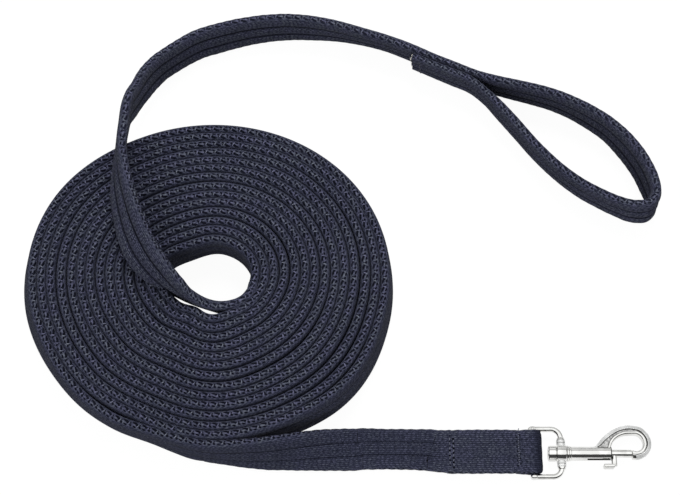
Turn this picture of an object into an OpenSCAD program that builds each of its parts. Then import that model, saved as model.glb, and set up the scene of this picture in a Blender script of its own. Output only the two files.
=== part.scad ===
// Woven lunge line, coiled on edge, with a swivel bolt snap sewn to one end and a hand loop sewn
// into the other.
// Units are millimetres. +Z is up, the floor is z = 0, and the origin is the middle of the coil's base.

/* [Webbing] */
// Width of the woven strap
strap_w = 25; // [20:0.5:30]
// Thickness of the loose strap
strap_t = 6; // [4:0.25:7]
// Thickness of each layer where two layers are sewn together
sewn_t = 5; // [3.5:0.25:6]
// Thickness of the layer that is pulled tight around the bar of the eye
wrap_t = 3.6; // [2.5:0.1:5]
// Width of the bevel that stands for the rounded edge of the strap
edge_bevel = 1.7; // [0.8:0.1:1.9]
// Length of the doubled, sewn part behind the bar
fold_len = 51.5; // [35:0.5:60]

/* [Coil] */
// Radius of the strap's middle line on the outermost turn
coil_r = 107; // [95:0.5:120]
// Radius that the spiral runs down to at the hole
hole_r = 23.5; // [20:0.5:26]
// Whole turns in the spiral, before its last three quarters of a turn
whole_turns = 13; // [11:1:14]
// How far the outermost turn gives way where the run lies against it
nip = 1.2; // [0:0.1:2]

/* [Eye] */
// Diameter of the eye's wire
wire_d = 2.8; // [2:0.1:3.5]
// Play of the strap between the legs of the eye, both sides together
eye_play = 1.2; // [0.4:0.1:3]
// Distance from the middle of the bar to the middle of the hub
eye_len = 16.2; // [14:0.1:22]
// Middle radius of the bends that turn the legs in towards the hub
leg_bend_r = 6; // [4:0.1:7]
// Diameter of the hub that the rivet turns in
hub_d = 10; // [8:0.1:12]
// Length of the hub along the rivet
hub_len = 6.2; // [5:0.1:9]
// Diameter of the two collars that hold the ends of the wire
collar_d = 5.2; // [4:0.1:6]
// How far each collar stands out past the hub
collar_out = 4.3; // [3:0.1:6]

/* [Swivel] */
// Diameter of the rivet's shank
rivet_d = 4.5; // [3.5:0.1:5.5]
// Diameter of the rivet's head
rivet_head_d = 9.3; // [7:0.1:9.8]
// Length of the rivet's head
rivet_head_len = 4.6; // [2:0.1:6]
// Diameter of the washer between the hub and the barrel
washer_d = 9.4; // [7:0.1:9.8]
// Thickness of the washer
washer_len = 2.6; // [1:0.1:4]
// Depth of the rivet's end in the back of the barrel
rivet_seat = 3; // [2:0.1:3.5]

/* [Barrel and bolt] */
// Outside diameter of the barrel
barrel_d = 8.2; // [7.8:0.1:9.6]
// Length of the barrel
barrel_len = 23.7; // [20:0.1:30]
// Length of the solid back of the barrel
back_wall = 4.5; // [3.6:0.1:6]
// Diameter of the sliding bolt
bolt_d = 4.6; // [4:0.1:5.2]
// Length of the bolt that stays inside the barrel when the snap is closed
bolt_hold = 5.2; // [4:0.1:8]
// Gap from the barrel's mouth to the tip of the closed bolt
mouth = 12.1; // [10:0.1:16]
// Travel of the bolt
bolt_travel = 11; // [8:0.1:12]
// Diameter of the spring's wire
spring_wire_d = 0.5; // [0.3:0.05:0.7]
// Turns of the spring
spring_turns = 5; // [3:1:8]

/* [Hook] */
// Thickness of the cast hook
hook_t = 5.6; // [4:0.1:8]
// Outer radius of the hook's round end
hook_r = 9.9; // [9:0.1:12]
// Width of the metal around the hook's round end
hook_w = 4.6; // [3.5:0.1:5.5]
// Radius of the long outer sweep from the barrel to the round end
sweep_r = 22; // [20:0.5:26]
// Depth of the cast recess on each face of the hook
recess = 1.4; // [0.6:0.1:2.4]

/* [Thumb stud] */
// Diameter of the stud's neck, which runs in the slot
neck_d = 3.6; // [2.6:0.1:4]
// Length of the neck between the bolt and the pad
neck_len = 4.9; // [3:0.1:6]
// Length of the thumb pad along the barrel
pad_len = 8.2; // [5:0.1:10]
// Height of the thumb pad above its neck
pad_h = 2; // [1.5:0.1:4]
// Width of the thumb pad across the barrel
pad_w = 5.4; // [4:0.1:7]

/* [Stitching] */
// Diameter of the sewing thread
thread_d = 0.7; // [0.4:0.05:1]
// Length of one stitch
stitch_len = 2.3; // [1.5:0.1:3.5]
// Distance between the middles of neighbouring stitches
stitch_pitch = 3; // [2.6:0.1:4]

/* [Fits] */
// Radial clearance of the bar, the rivet and the bolt in their holes
run_gap = 0.07; // [0.05:0.01:0.1]
// Gap beside the thumb stud's neck and at the ends of moving pieces
side_gap = 0.2; // [0.1:0.05:0.4]
// Gap on each side of the hub along the rivet
end_gap = 0.05; // [0.03:0.01:0.1]

/* [Hidden] */
$fn = 48;

navy = [0.21, 0.22, 0.28];
thread = [0.10, 0.10, 0.14];
core_white = [0.86, 0.85, 0.82];
nickel = [0.78, 0.78, 0.80];

// ---- the strap's route -------------------------------------------------------------------------
// Stations are [x, y, height of the lowest edge, lean of the top edge to the right of travel].
// Travel runs from the snap, through the coil, to the hand loop.
bar_x = 194.5;
bar_y = -101.4;
fold_x = bar_x - fold_len;
run_pts = [
    [fold_x, -100.3, 4.3, 90], [134, -99.7, 2, 90], [121, -98.8, 0, 90], [104, -98.7, 0, 88],
    [87, -99.2, 0, 77], [68, -100.4, 0, 58], [51, -102, 0, 40], [38, -103, 0, 31],
    [26, -103.2, 0, 22], [13, -102.8, 0, 12]];
tail_pts = [
    [26.2, -5.6, 0, 0], [20, -11, 0.3, -6], [10.5, -13, 0.8, -13], [1, -11.6, 2, -18],
    [-8, -9, 5, -14], [-16.5, -5.5, 10.5, -4], [-24.5, -1, 17, 18], [-33, 6.5, 24, 38],
    [-40, 16.5, 25.6, 48], [-45.3, 28, 25.6, 46], [-50, 43, 25.6, 38], [-53.8, 61, 25.8, 27],
    [-54.8, 80, 25.6, 12], [-53.8, 97, 25.4, 9], [-52.5, 110, 23, 5], [-49.8, 123, 13, -1],
    [-45, 135.5, 8, -8], [-39.2, 146.6, 3.5, -10], [-31.4, 155.6, 1, -10], [-14, 168, 0, -13],
    [1, 173.6, 0, -13], [17, 178.1, 0, -11], [33, 181, 0, -8], [48, 182, 0, -5],
    [63, 181.2, 0, -1], [78, 179, 0, 6], [94, 175, 0, 12], [110, 170, 0, 14],
    [126, 163.2, 0, 13], [141, 156, 0, 11], [154, 150, 0, 10], [166, 144.6, 0, 10]];
loop_pts = [
    [166, 144.6, 0, 10], [179, 139.6, 0, 8], [204, 132.8, 0, 4], [217, 128.5, 0, 3],
    [229, 122.8, 0, 2], [240.5, 115.6, 0, -1], [251, 107.2, 0, -3], [261, 95.3, 0, -7],
    [268.8, 82.5, 0, -8], [273.8, 69.5, 0, -7], [275.6, 59.2, 0, 0], [271.5, 52, 0, 5],
    [262, 51.4, 0, 1], [252, 54.9, 0, -4], [242, 60, 0, -6], [230, 67.4, 0, -7],
    [217, 78.4, 0, -8], [204, 92.6, 0, -8], [192, 108.4, 0, -8], [182.4, 120.6, 0, -9],
    [173.6, 131, 0, -10], [163.7, 139.8, 0, -10], [151.7, 145.5, 0, -10], [139, 151.4, 0, -11],
    [127.5, 156.8, 0, -12]];
tail_seam = 3;   // stations of the tail's end that lie in the sewn part
loop_seam_a = 1; // and of the hand loop's start
loop_seam_b = 5; // and of its returning end

// ---- the coil ----------------------------------------------------------------------------------
pitch_turns = whole_turns + 1;
function mix(a, b, f) = a + (b - a) * f;
function near(a, b) = let (d = (a - b) % 360) d > 180 ? d - 360 : d < -180 ? d + 360 : d;
function ease(a, b, x) = let (t = min(1, max(0, (x - a) / (b - a)))) t * t * (3 - 2 * t);
function swell(a, c, w) = abs(near(a, c)) < w ? 0.5 + 0.5 * cos(180 * near(a, c) / w) : 0;
function bump(w, c, reach) = abs(w - c) < reach ? 0.5 + 0.5 * cos(180 * (w - c) / reach) : 0;
// Middle line of the spiral after it has wound by w degrees from the run's end
function wind_r(w) = let (f = w / 360 / pitch_turns, a = 270 - w)
    mix(coil_r, hole_r, f) + mix(2, 0.5, f) * cos(a) + mix(3.5, 6, f) * sin(a)
    + mix(4, 3, f) * cos(2 * a) + mix(1.2, 2.9, ease(150, 300, w)) * swell(a, 278, 34)
    - 2.2 * swell(a, 205, 40) - 1.3 * swell(a, 242, 24) + mix(2, 0.8, f) * swell(a, 148, 36)
    - mix(1.5, 0.9, f) * ease(360, 480, w) * swell(a, 345, 45)
    + 1.3 * sin(180 * f) * swell(a, 70, 110) - 3 * pow(f, 3) * swell(a, 118, 45)
    + 0.9 * bump(w, 0, 10) - 1.6 * bump(w, 17, 17) + 2 * bump(w, 92, 45)
    + 2.4 * bump(w, 310, 30) + bump(w, 308, 50);
function wind(w, off = 0) = (wind_r(w) + off) * [cos(270 - w), sin(270 - w)];
wind_end = (whole_turns + 0.75) * 360;
coil_start = [wind(0)[0], wind(0)[1], 0, 0];
coil_end = [wind(wind_end)[0], wind(wind_end)[1], 0, 0];

// ---- a flat strap swept through stations -------------------------------------------------------
function unit(v) = v / norm(v);
function mid(s, t) = [s[0], s[1], s[2] + strap_w / 2 * abs(cos(s[3])) + t / 2 * abs(sin(s[3]))];
function bevelled(w, t) = let (b = edge_bevel) [
    [w / 2 - b, t / 2], [w / 2, t / 2 - b], [w / 2, b - t / 2], [w / 2 - b, -t / 2],
    [b - w / 2, -t / 2], [-w / 2, b - t / 2], [-w / 2, t / 2 - b], [b - w / 2, t / 2]];
function across(dir, lean) = let (r = unit(cross(dir, [0, 0, 1])), u = cross(r, dir))
    cos(lean) * u + sin(lean) * r;
function heading(c, i) = unit(c[min(i + 1, len(c) - 1)] - c[max(i - 1, 0)]);
module strap(pts, thick) {
    c = [for (i = [0 : len(pts) - 1]) mid(pts[i], thick[i])];
    rings = [for (i = [0 : len(c) - 1])
        let (d = heading(c, i), w = across(d, pts[i][3]), n = cross(w, d))
        [for (q = bevelled(strap_w, thick[i])) c[i] + q[0] * w + q[1] * n]];
    m = 8;
    last = len(c) - 1;
    polyhedron(
        points = [for (r = rings) each r],
        faces = concat(
            [[for (j = [0 : m - 1]) j]],
            [[for (j = [m - 1 : -1 : 0]) last * m + j]],
            [for (i = [0 : last - 1]) for (j = [0 : m - 1])
                let (a = i * m + j, b = i * m + (j + 1) % m)
                each [[a, a + m, b], [b, a + m, b + m]]]),
        convexity = 8);
}
function seam_t(n, first, final) = [for (i = [0 : n - 1]) i < first || i >= n - final ? sewn_t : strap_t];

module webbing_coil() {
    // The outermost turn gives way a little where the run lies against it
    outer = [for (i = [0 : 72]) wind(i * 5, strap_t / 2 - nip * bump(i * 5, 350, 50))];
    inner = [for (i = [0 : 48]) wind(wind_end - 360 + i * 7.5, -strap_t / 2)];
    color(navy)
    linear_extrude(strap_w)
    difference() {
        polygon(outer);
        polygon(inner);
    }
}

module lead_run() {
    pts = concat(run_pts, [coil_start]);
    color(navy)
    strap(pts, [for (p = pts) strap_t]);
}

module webbing_tail() {
    pts = concat([coil_end], tail_pts);
    color(navy)
    strap(pts, seam_t(len(pts), 0, tail_seam));
}

module hand_loop() {
    color(navy)
    strap(loop_pts, seam_t(len(loop_pts), loop_seam_a, loop_seam_b));
}

// ---- the sewn fold around the bar --------------------------------------------------------------
wrap_r = wire_d / 2 + wrap_t;
hook_z = max(wrap_r, hub_d / 2);
fold_top = hook_z + wrap_r;
fold_low = hook_z - wrap_r;
fold_y = bar_y - strap_w / 2;

module along_x(d, len) {
    rotate([0, 90, 0])
    cylinder(d = d, h = len);
}
module along_y(d, len) {
    rotate([-90, 0, 0])
    cylinder(d = d, h = len);
}

module hook_fold() {
    color(navy)
    difference() {
        union() {
            translate([bar_x, fold_y, hook_z])
                along_y(2 * wrap_r, strap_w);
            translate([fold_x, fold_y, fold_low])
                cube([fold_len, strap_w, 2 * wrap_r]);
        }
        translate([bar_x, fold_y - 1, hook_z])
            along_y(wire_d + 2 * run_gap, strap_w + 2);
    }
}

// A row of stitches across the strap, lying on its top face
module stitch_row(x, y, z, n) {
    for (i = [0 : n - 1])
        translate([x, y + (i - (n - 1) / 2) * stitch_pitch - stitch_len / 2, z])
            along_y(thread_d, stitch_len);
}
row_n = floor((strap_w - 4) / stitch_pitch);
rear_in = 2;
front_in = 9.2;

module fold_stitch_rear() {
    color(thread)
    union() {
        stitch_row(fold_x + rear_in, bar_y, fold_top, row_n);
        stitch_row(fold_x + rear_in + 2.2, bar_y, fold_top, row_n);
    }
}

module fold_stitch_front() {
    color(thread)
    stitch_row(bar_x - front_in, bar_y, fold_top, row_n);
}

// ---- the sewn end of the hand loop -------------------------------------------------------------
// Puts a row of stitches, up the strap's width, on the south face of the returning strap
module seam_row(i, shift) {
    c = mid(loop_pts[i], sewn_t);
    d = unit(mid(loop_pts[i + 1], sewn_t) - mid(loop_pts[i - 1], sewn_t));
    w = across(d, loop_pts[i][3]);
    n = cross(w, d);
    o = c + d * shift + n * sewn_t / 2;
    multmatrix([[d[0], n[0], w[0], o[0]], [d[1], n[1], w[1], o[1]], [d[2], n[2], w[2], o[2]]])
    for (k = [0 : row_n - 1])
        translate([0, 0, (k - (row_n - 1) / 2) * stitch_pitch - stitch_len / 2])
            cylinder(d = thread_d, h = stitch_len);
}
loop_last = len(loop_pts) - 1;

module loop_stitch_rear() {
    color(thread)
    seam_row(loop_last - 1, 7);
}

module loop_stitch_front() {
    color(thread)
    seam_row(loop_last - 3, -6);
}

core_d = 2.2;
core_out = 1.2;
module loop_end_core() {
    a = mid(loop_pts[loop_last - 1], sewn_t);
    c = mid(loop_pts[loop_last], sewn_t);
    d = unit(c - a);
    w = across(d, loop_pts[loop_last][3]);
    n = cross(w, d);
    color(core_white)
    multmatrix([[n[0], w[0], d[0], c[0]], [n[1], w[1], d[1], c[1]], [n[2], w[2], d[2], c[2]]])
    for (k = [-1 : 1])
        translate([0, k * strap_w / 4, 0])
            cylinder(d = core_d, h = core_out);
}

// ---- the eye -----------------------------------------------------------------------------------
eye_gap = strap_w + eye_play;
leg_y = eye_gap / 2 + wire_d / 2;
hub_x = bar_x + eye_len;
collar_tip = hub_d / 2 + collar_out;
wire_in = rivet_d / 2 + run_gap + 1;
bend_y = leg_y - leg_bend_r;
bar_bend_r = leg_y - strap_w / 2 - side_gap; // the bar is straight all through the fold

module quarter(r) {
    rotate_extrude(angle = 90)
    translate([r, 0])
    circle(d = wire_d);
}

module half_eye() {
    translate([bar_x, 0, hook_z])
        along_y(wire_d, leg_y - bar_bend_r);
    translate([bar_x + bar_bend_r, leg_y - bar_bend_r, hook_z])
        rotate([0, 0, 90])
        quarter(bar_bend_r);
    translate([bar_x + bar_bend_r, leg_y, hook_z])
        along_x(wire_d, eye_len - bar_bend_r - leg_bend_r);
    translate([hub_x - leg_bend_r, bend_y, hook_z])
        quarter(leg_bend_r);
    translate([hub_x, wire_in, hook_z])
        along_y(wire_d, bend_y - wire_in);
}

module eye_wire() {
    color(nickel)
    translate([0, bar_y, 0])
    union() {
        half_eye();
        mirror([0, 1, 0])
        half_eye();
    }
}

module eye_hub() {
    color(nickel)
    difference() {
        union() {
            translate([hub_x - hub_len / 2, bar_y, hook_z])
                along_x(hub_d, hub_len);
            translate([hub_x, bar_y - collar_tip, hook_z])
                along_y(collar_d, 2 * collar_tip);
        }
        translate([hub_x - hub_len / 2 - 1, bar_y, hook_z])
            along_x(rivet_d + 2 * run_gap, hub_len + 2);
        translate([hub_x, bar_y + wire_in, hook_z])
            along_y(wire_d, collar_tip);
        translate([hub_x, bar_y - wire_in - collar_tip, hook_z])
            along_y(wire_d, collar_tip);
    }
}

// ---- the swivel, along X -----------------------------------------------------------------------
hub_x0 = hub_x - hub_len / 2;
hub_x1 = hub_x + hub_len / 2;
head_x = hub_x0 - end_gap - rivet_head_len;
washer_x = hub_x1 + end_gap;
barrel_x = washer_x + washer_len;
mouth_x = barrel_x + barrel_len;
bore_x = barrel_x + back_wall;
tip_x = mouth_x + mouth;

module swivel_rivet() {
    color(nickel)
    translate([0, bar_y, hook_z])
    union() {
        translate([head_x, 0, 0])
            along_x(rivet_head_d, rivet_head_len);
        translate([hub_x0 - end_gap - 0.5, 0, 0])
            along_x(rivet_d, barrel_x + rivet_seat - hub_x0 + end_gap + 0.5);
    }
}

module swivel_washer() {
    color(nickel)
    translate([washer_x, bar_y, hook_z])
    difference() {
        along_x(washer_d, washer_len);
        translate([-1, 0, 0])
            along_x(rivet_d, washer_len + 2);
    }
}

// ---- the barrel and the cast hook --------------------------------------------------------------
// Points on an arc, for outlines
function arc(c, r, a0, a1, n) = [for (i = [0 : n]) let (a = a0 + (a1 - a0) * i / n) c + r * [cos(a), sin(a)]];
bolt_r = bolt_d / 2;
end_c = [mouth_x + 14.2, 6.2];
sweep_c = [mouth_x + 12.9, hook_r + 6.2 - sweep_r + 0.2];
in_r = hook_r - hook_w;
in_c = end_c + [-0.4, -0.2];
root_x = mouth_x - 10.2;
hook_line = concat(
    [[mouth_x - 0.2, bolt_r + 0.6], [root_x, bolt_r + 0.6], [root_x, barrel_d / 2 - 0.3]],
    arc(sweep_c, sweep_r, 152, 94, 14),
    arc(end_c, hook_r, 84, -84, 24),
    [[tip_x + 0.1, end_c[1] - hook_r + 0.5], [tip_x + 0.1, in_c[1] - in_r + 0.1]],
    arc(in_c, in_r, -84, 96, 24),
    [[mouth_x + 8.2, 10.9], [mouth_x + 4.6, 9.4], [mouth_x + 2, 7.4], [mouth_x + 0.7, 5.4]]);
web_line = concat(
    [[root_x + 6.6, barrel_d / 2 + 0.5]],
    arc(sweep_c, sweep_r - 1.9, 146, 105, 10),
    [[mouth_x + 6.4, 12.5], [mouth_x + 2.6, 10.4], [mouth_x + 0.2, 7.9], [mouth_x - 1.1, 5.6]]);

module snap_body() {
    slot_x = bore_x + 5;
    slot_w = neck_d + 2 * side_gap;
    color(nickel)
    translate([0, bar_y, hook_z])
    difference() {
        union() {
            translate([barrel_x, 0, 0])
                along_x(barrel_d, barrel_len);
            translate([0, 0, -hook_t / 2])
                linear_extrude(hook_t)
                polygon(hook_line);
        }
        translate([bore_x, 0, 0])
            along_x(bolt_d + 2 * run_gap, mouth_x - bore_x + 1);
        translate([barrel_x - 1, 0, 0])
            along_x(rivet_d, rivet_seat + 1);
        translate([slot_x, -barrel_d, -slot_w / 2])
            cube([mouth_x - slot_x + 1, barrel_d, slot_w]);
        for (s = [-1, 1])
            translate([0, 0, s * (hook_t / 2 - recess / 2) - recess / 2 - (s > 0 ? 0 : 1)])
                linear_extrude(recess + 1)
                polygon(web_line);
    }
}

// ---- the bolt, its stud and its spring ---------------------------------------------------------
bolt_x = mouth_x - bolt_hold;
neck_x = mouth_x + 1.6;
stud_pin_d = neck_d - 1;
stud_pin_in = 0.4;

module snap_bolt() {
    color(nickel)
    translate([0, bar_y, hook_z])
    difference() {
        translate([bolt_x, 0, 0])
            along_x(bolt_d, tip_x - bolt_x);
        translate([neck_x, -bolt_d, 0])
            along_y(stud_pin_d, bolt_d - stud_pin_in);
    }
}

module thumb_stud() {
    pad_y = -bolt_r - neck_len;
    color(nickel)
    translate([0, bar_y, hook_z])
    difference() {
        union() {
            translate([neck_x, -bolt_r - neck_len - 0.3, 0])
                along_y(neck_d, neck_len + 1.6);
            translate([neck_x, -bolt_r - neck_len, 0])
                along_y(stud_pin_d, bolt_r + neck_len - stud_pin_in);
            translate([0, 0, -pad_w / 2])
                linear_extrude(pad_w)
                polygon([
                    [neck_x + 1.2, pad_y], [neck_x + 1.2 - pad_len, pad_y],
                    [neck_x + 1.7 - pad_len, pad_y - pad_h], [neck_x - 0.8, pad_y - pad_h]]);
        }
        translate([neck_x - neck_d, 0, 0])
            along_x(bolt_d, 2 * neck_d);
    }
}

module bolt_spring() {
    r = bolt_r - spring_wire_d / 2 - 0.25;
    x0 = bore_x + spring_wire_d / 2 + 0.03;
    x1 = bolt_x - spring_wire_d / 2 - 0.03;
    steps = spring_turns * 16;
    m = 6;
    rings = [for (i = [0 : steps])
        let (a = i * 22.5, x = mix(x0, x1, i / steps))
        [for (j = [0 : m - 1]) let (b = j * 60)
            [x + spring_wire_d / 2 * sin(b), (r + spring_wire_d / 2 * cos(b)) * cos(a),
             (r + spring_wire_d / 2 * cos(b)) * sin(a)]]];
    color(nickel)
    translate([0, bar_y, hook_z])
    polyhedron(
        points = [for (q = rings) each q],
        faces = concat(
            [[for (j = [0 : m - 1]) j]],
            [[for (j = [m - 1 : -1 : 0]) steps * m + j]],
            [for (i = [0 : steps - 1]) for (j = [0 : m - 1])
                let (a = i * m + j, b = i * m + (j + 1) % m)
                each [[a, a + m, b], [b, a + m, b + m]]]),
        convexity = 8);
}

webbing_coil();
lead_run();
webbing_tail();
hand_loop();
hook_fold();
fold_stitch_rear();
fold_stitch_front();
loop_stitch_rear();
loop_stitch_front();
loop_end_core();
eye_wire();
eye_hub();
swivel_rivet();
swivel_washer();
snap_body();
snap_bolt();
thumb_stud();
bolt_spring();
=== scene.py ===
"""Blender scene of a coiled lunge line with a bolt snap and a hand loop.

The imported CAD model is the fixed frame. Every soft piece is a strap swept along the same route as
the CAD solids, and every metal piece stands on the CAD sizes. Routes and sizes are in millimetres,
as in the CAD source, and ``MM`` turns them into the scene's metres; the studio is in metres.
"""

from __future__ import annotations

import logging
import math
from dataclasses import dataclass
from enum import Enum

import bpy
import numpy as np
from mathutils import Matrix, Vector

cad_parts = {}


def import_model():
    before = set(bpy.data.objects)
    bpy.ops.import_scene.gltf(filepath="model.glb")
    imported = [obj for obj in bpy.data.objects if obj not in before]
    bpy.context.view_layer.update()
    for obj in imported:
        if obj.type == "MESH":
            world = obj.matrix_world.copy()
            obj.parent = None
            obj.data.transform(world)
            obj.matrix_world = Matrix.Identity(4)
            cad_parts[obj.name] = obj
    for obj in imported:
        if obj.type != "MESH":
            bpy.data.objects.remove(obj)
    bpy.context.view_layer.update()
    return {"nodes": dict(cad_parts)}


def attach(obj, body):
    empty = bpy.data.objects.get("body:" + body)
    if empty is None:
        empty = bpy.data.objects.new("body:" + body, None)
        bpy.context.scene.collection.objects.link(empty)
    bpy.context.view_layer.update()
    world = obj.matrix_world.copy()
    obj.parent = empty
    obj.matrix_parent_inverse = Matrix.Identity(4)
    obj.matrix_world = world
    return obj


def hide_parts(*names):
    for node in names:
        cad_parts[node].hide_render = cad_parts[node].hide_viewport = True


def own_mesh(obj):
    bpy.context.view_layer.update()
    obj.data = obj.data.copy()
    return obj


LOG = logging.getLogger("lunge_line")
MM = 0.001

Vec = np.ndarray


class Body(Enum):
    """The CAD bodies that pieces ride on."""

    LINE = "line"
    EYE = "eye"
    SNAP = "snap"
    BOLT = "bolt"


class Slot(Enum):
    """The record's material slots."""

    WEBBING = "webbing"
    THREAD = "thread"
    CORE = "core"
    METAL = "plated_metal"
    SPRING = "spring_steel"


class Metal(Enum):
    """The finishes of the snap's metal."""

    PLATE = "plate"
    CAST = "cast"
    SATIN = "satin"
    # Painted shade for hollows, gaps and hidden parts.
    BORE = "bore"


class Axis(Enum):
    """The axis that a turned part lies along."""

    X = "X"
    Y = "Y"


# --------------------------------------------------------------------------------------------------
# Sizes and the route, in millimetres, as in the CAD source
# --------------------------------------------------------------------------------------------------


@dataclass(frozen=True)
class Sizes:
    """Sizes shared by the pieces, in millimetres."""

    strap_w: float = 25.0
    strap_t: float = 6.0
    sewn_t: float = 5.0
    wrap_t: float = 3.6
    wire_d: float = 2.8
    fold_len: float = 51.5
    bar_x: float = 194.5
    bar_y: float = -101.4
    hook_z: float = 5.0
    cell: float = 5.7

    @property
    def fold_x(self) -> float:
        """Where the sewn overlap starts."""
        return self.bar_x - self.fold_len


S = Sizes()

Station = tuple[float, float, float, float]

RUN: tuple[Station, ...] = (
    (S.fold_x, -100.3, 4.3, 90), (134, -99.7, 2, 90), (121, -98.8, 0, 90), (104, -98.7, 0, 88),
    (87, -99.2, 0, 77), (68, -100.4, 0, 58), (51, -102, 0, 40), (38, -103, 0, 31),
    (26, -103.2, 0, 22), (13, -102.8, 0, 12),
)
TAIL: tuple[Station, ...] = (
    (26.2, -5.6, 0, 0), (20, -11, 0.3, -6), (10.5, -13, 0.8, -13), (1, -11.6, 2, -18),
    (-8, -9, 5, -14), (-16.5, -5.5, 10.5, -4), (-24.5, -1, 17, 18), (-33, 6.5, 24, 38),
    (-40, 16.5, 25.6, 48), (-45.3, 28, 25.6, 46), (-50, 43, 25.6, 38), (-53.8, 61, 25.8, 27),
    (-54.8, 80, 25.6, 12), (-53.8, 97, 25.4, 9), (-52.5, 110, 23, 5), (-49.8, 123, 13, -1),
    (-45, 135.5, 8, -8), (-39.2, 146.6, 3.5, -10), (-31.4, 155.6, 1, -10), (-14, 168, 0, -13),
    (1, 173.6, 0, -13), (17, 178.1, 0, -11), (33, 181, 0, -8), (48, 182, 0, -5),
    (63, 181.2, 0, -1), (78, 179, 0, 6), (94, 175, 0, 12), (110, 170, 0, 14),
    (126, 163.2, 0, 13), (141, 156, 0, 11), (154, 150, 0, 10), (166, 144.6, 0, 10),
)
LOOP: tuple[Station, ...] = (
    (166, 144.6, 0, 10), (179, 139.6, 0, 8), (204, 132.8, 0, 4), (217, 128.5, 0, 3),
    (229, 122.8, 0, 2), (240.5, 115.6, 0, -1), (251, 107.2, 0, -3), (261, 95.3, 0, -7),
    (268.8, 82.5, 0, -8), (273.8, 69.5, 0, -7), (275.6, 59.2, 0, 0), (271.5, 52, 0, 5),
    (262, 51.4, 0, 1), (252, 54.9, 0, -4), (242, 60, 0, -6), (230, 67.4, 0, -7),
    (217, 78.4, 0, -8), (204, 92.6, 0, -8), (192, 108.4, 0, -8), (182.4, 120.6, 0, -9),
    (173.6, 131, 0, -10), (163.7, 139.8, 0, -10), (151.7, 145.5, 0, -10), (139, 151.4, 0, -11),
    (127.5, 156.8, 0, -12),
)


def mix(a: float, b: float, f: float) -> float:
    """Linear blend from a to b."""
    return a + (b - a) * f


def smooth(edge0: float, edge1: float, x: float) -> float:
    """Smooth step from 0 at edge0 to 1 at edge1."""
    t = min(1.0, max(0.0, (x - edge0) / (edge1 - edge0)))
    return t * t * (3 - 2 * t)


class Spiral:
    """The coil's middle line, wound clockwise from the run's end to the hole."""

    TURNS = 13.75
    PITCHES = 14.0
    START = 270.0
    FOLLOWERS = 5

    @classmethod
    def end(cls) -> float:
        """Degrees wound at the coil's inner end."""
        return cls.TURNS * 360

    @staticmethod
    def bump(wound: float, centre: float, reach: float) -> float:
        """A raised cosine at one place along the winding, in degrees."""
        d = wound - centre
        return 0.5 + 0.5 * math.cos(math.pi * d / reach) if abs(d) < reach else 0.0

    @classmethod
    def swell(cls, angle: float, centre: float, reach: float) -> float:
        """A raised cosine around an angle, the same in every turn, in degrees."""
        return cls.bump((angle - centre + 180) % 360 - 180, 0.0, reach)

    @classmethod
    def radius(cls, wound: float) -> float:
        """Distance of the strap's middle from the coil's middle.

        Args:
            wound: Degrees wound since the run's end.

        Returns:
            The radius in millimetres: an oval that narrows, dents that all turns share, the
            swellings of the outermost turn, and those of the turns that follow it.
        """
        f = wound / 360 / cls.PITCHES
        deg = cls.START - wound
        a = math.radians(deg)
        swell, bump = cls.swell, cls.bump
        oval = (
            mix(107, 23.5, f) + mix(2, 0.5, f) * math.cos(a) + mix(3.5, 6, f) * math.sin(a)
            + mix(4, 3, f) * math.cos(2 * a)
        )
        dents = (
            mix(1.2, 2.9, smooth(150, 300, wound)) * swell(deg, 278, 34) - 2.2 * swell(deg, 205, 40)
            - 1.3 * swell(deg, 242, 24) + mix(2, 0.8, f) * swell(deg, 148, 36)
            - mix(1.5, 0.9, f) * smooth(360, 480, wound) * swell(deg, 345, 45)
            + 1.3 * math.sin(math.pi * f) * swell(deg, 70, 110) - 3 * f**3 * swell(deg, 118, 45)
        )
        outer = (
            0.9 * bump(wound, 0, 10) - 1.6 * bump(wound, 17, 17) + 2 * bump(wound, 92, 45)
            + 2.4 * bump(wound, 310, 30) + bump(wound, 308, 50)
        )
        inner = sum(
            (2.4 - 0.45 * k) * bump(wound, 668 + 360 * k, 42)
            + (0.25 - 0.05 * k) * bump(wound, 632 + 360 * k, 24)
            for k in range(cls.FOLLOWERS)
        )
        return oval + dents + outer + inner

    @classmethod
    def lean(cls, wound: float) -> float:
        """Lean of the outermost turn's top edge towards the middle, in degrees."""
        bump = cls.bump
        first = 7 * bump(wound, 0, 20) - 4 * bump(wound, 32, 26)
        return first + 11 * bump(wound, 92, 45) + 6 * bump(wound, 305, 75)

    @classmethod
    def point(cls, wound: float) -> tuple[float, float]:
        """Place in millimetres after winding by so many degrees."""
        r, a = cls.radius(wound), math.radians(cls.START - wound)
        return r * math.cos(a), r * math.sin(a)


# --------------------------------------------------------------------------------------------------
# Straps
# --------------------------------------------------------------------------------------------------


def travel(points: Vec) -> Vec:
    """Unit directions of travel along rows of points."""
    along = np.gradient(points, axis=0)
    return along / np.linalg.norm(along, axis=1)[:, None]


@dataclass
class Track:
    """A strap's path: one row per cross-section, in millimetres."""

    centre: Vec
    across: Vec
    thick: Vec
    width: Vec
    sunk: Vec | None = None

    def __post_init__(self) -> None:
        """Works out the direction of travel, the face normal and the length so far."""
        if self.sunk is None:
            self.sunk = np.ones(len(self.centre))
        self.along = travel(self.centre)
        self.across = self.across - self.along * np.sum(self.across * self.along, axis=1)[:, None]
        self.across /= np.linalg.norm(self.across, axis=1)[:, None]
        self.normal = np.cross(self.across, self.along)
        steps = np.linalg.norm(np.diff(self.centre, axis=0), axis=1)
        self.run = np.concatenate([[0.0], np.cumsum(steps)])

    @property
    def length(self) -> float:
        """Length along the middle line, in millimetres."""
        return float(self.run[-1])


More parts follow.
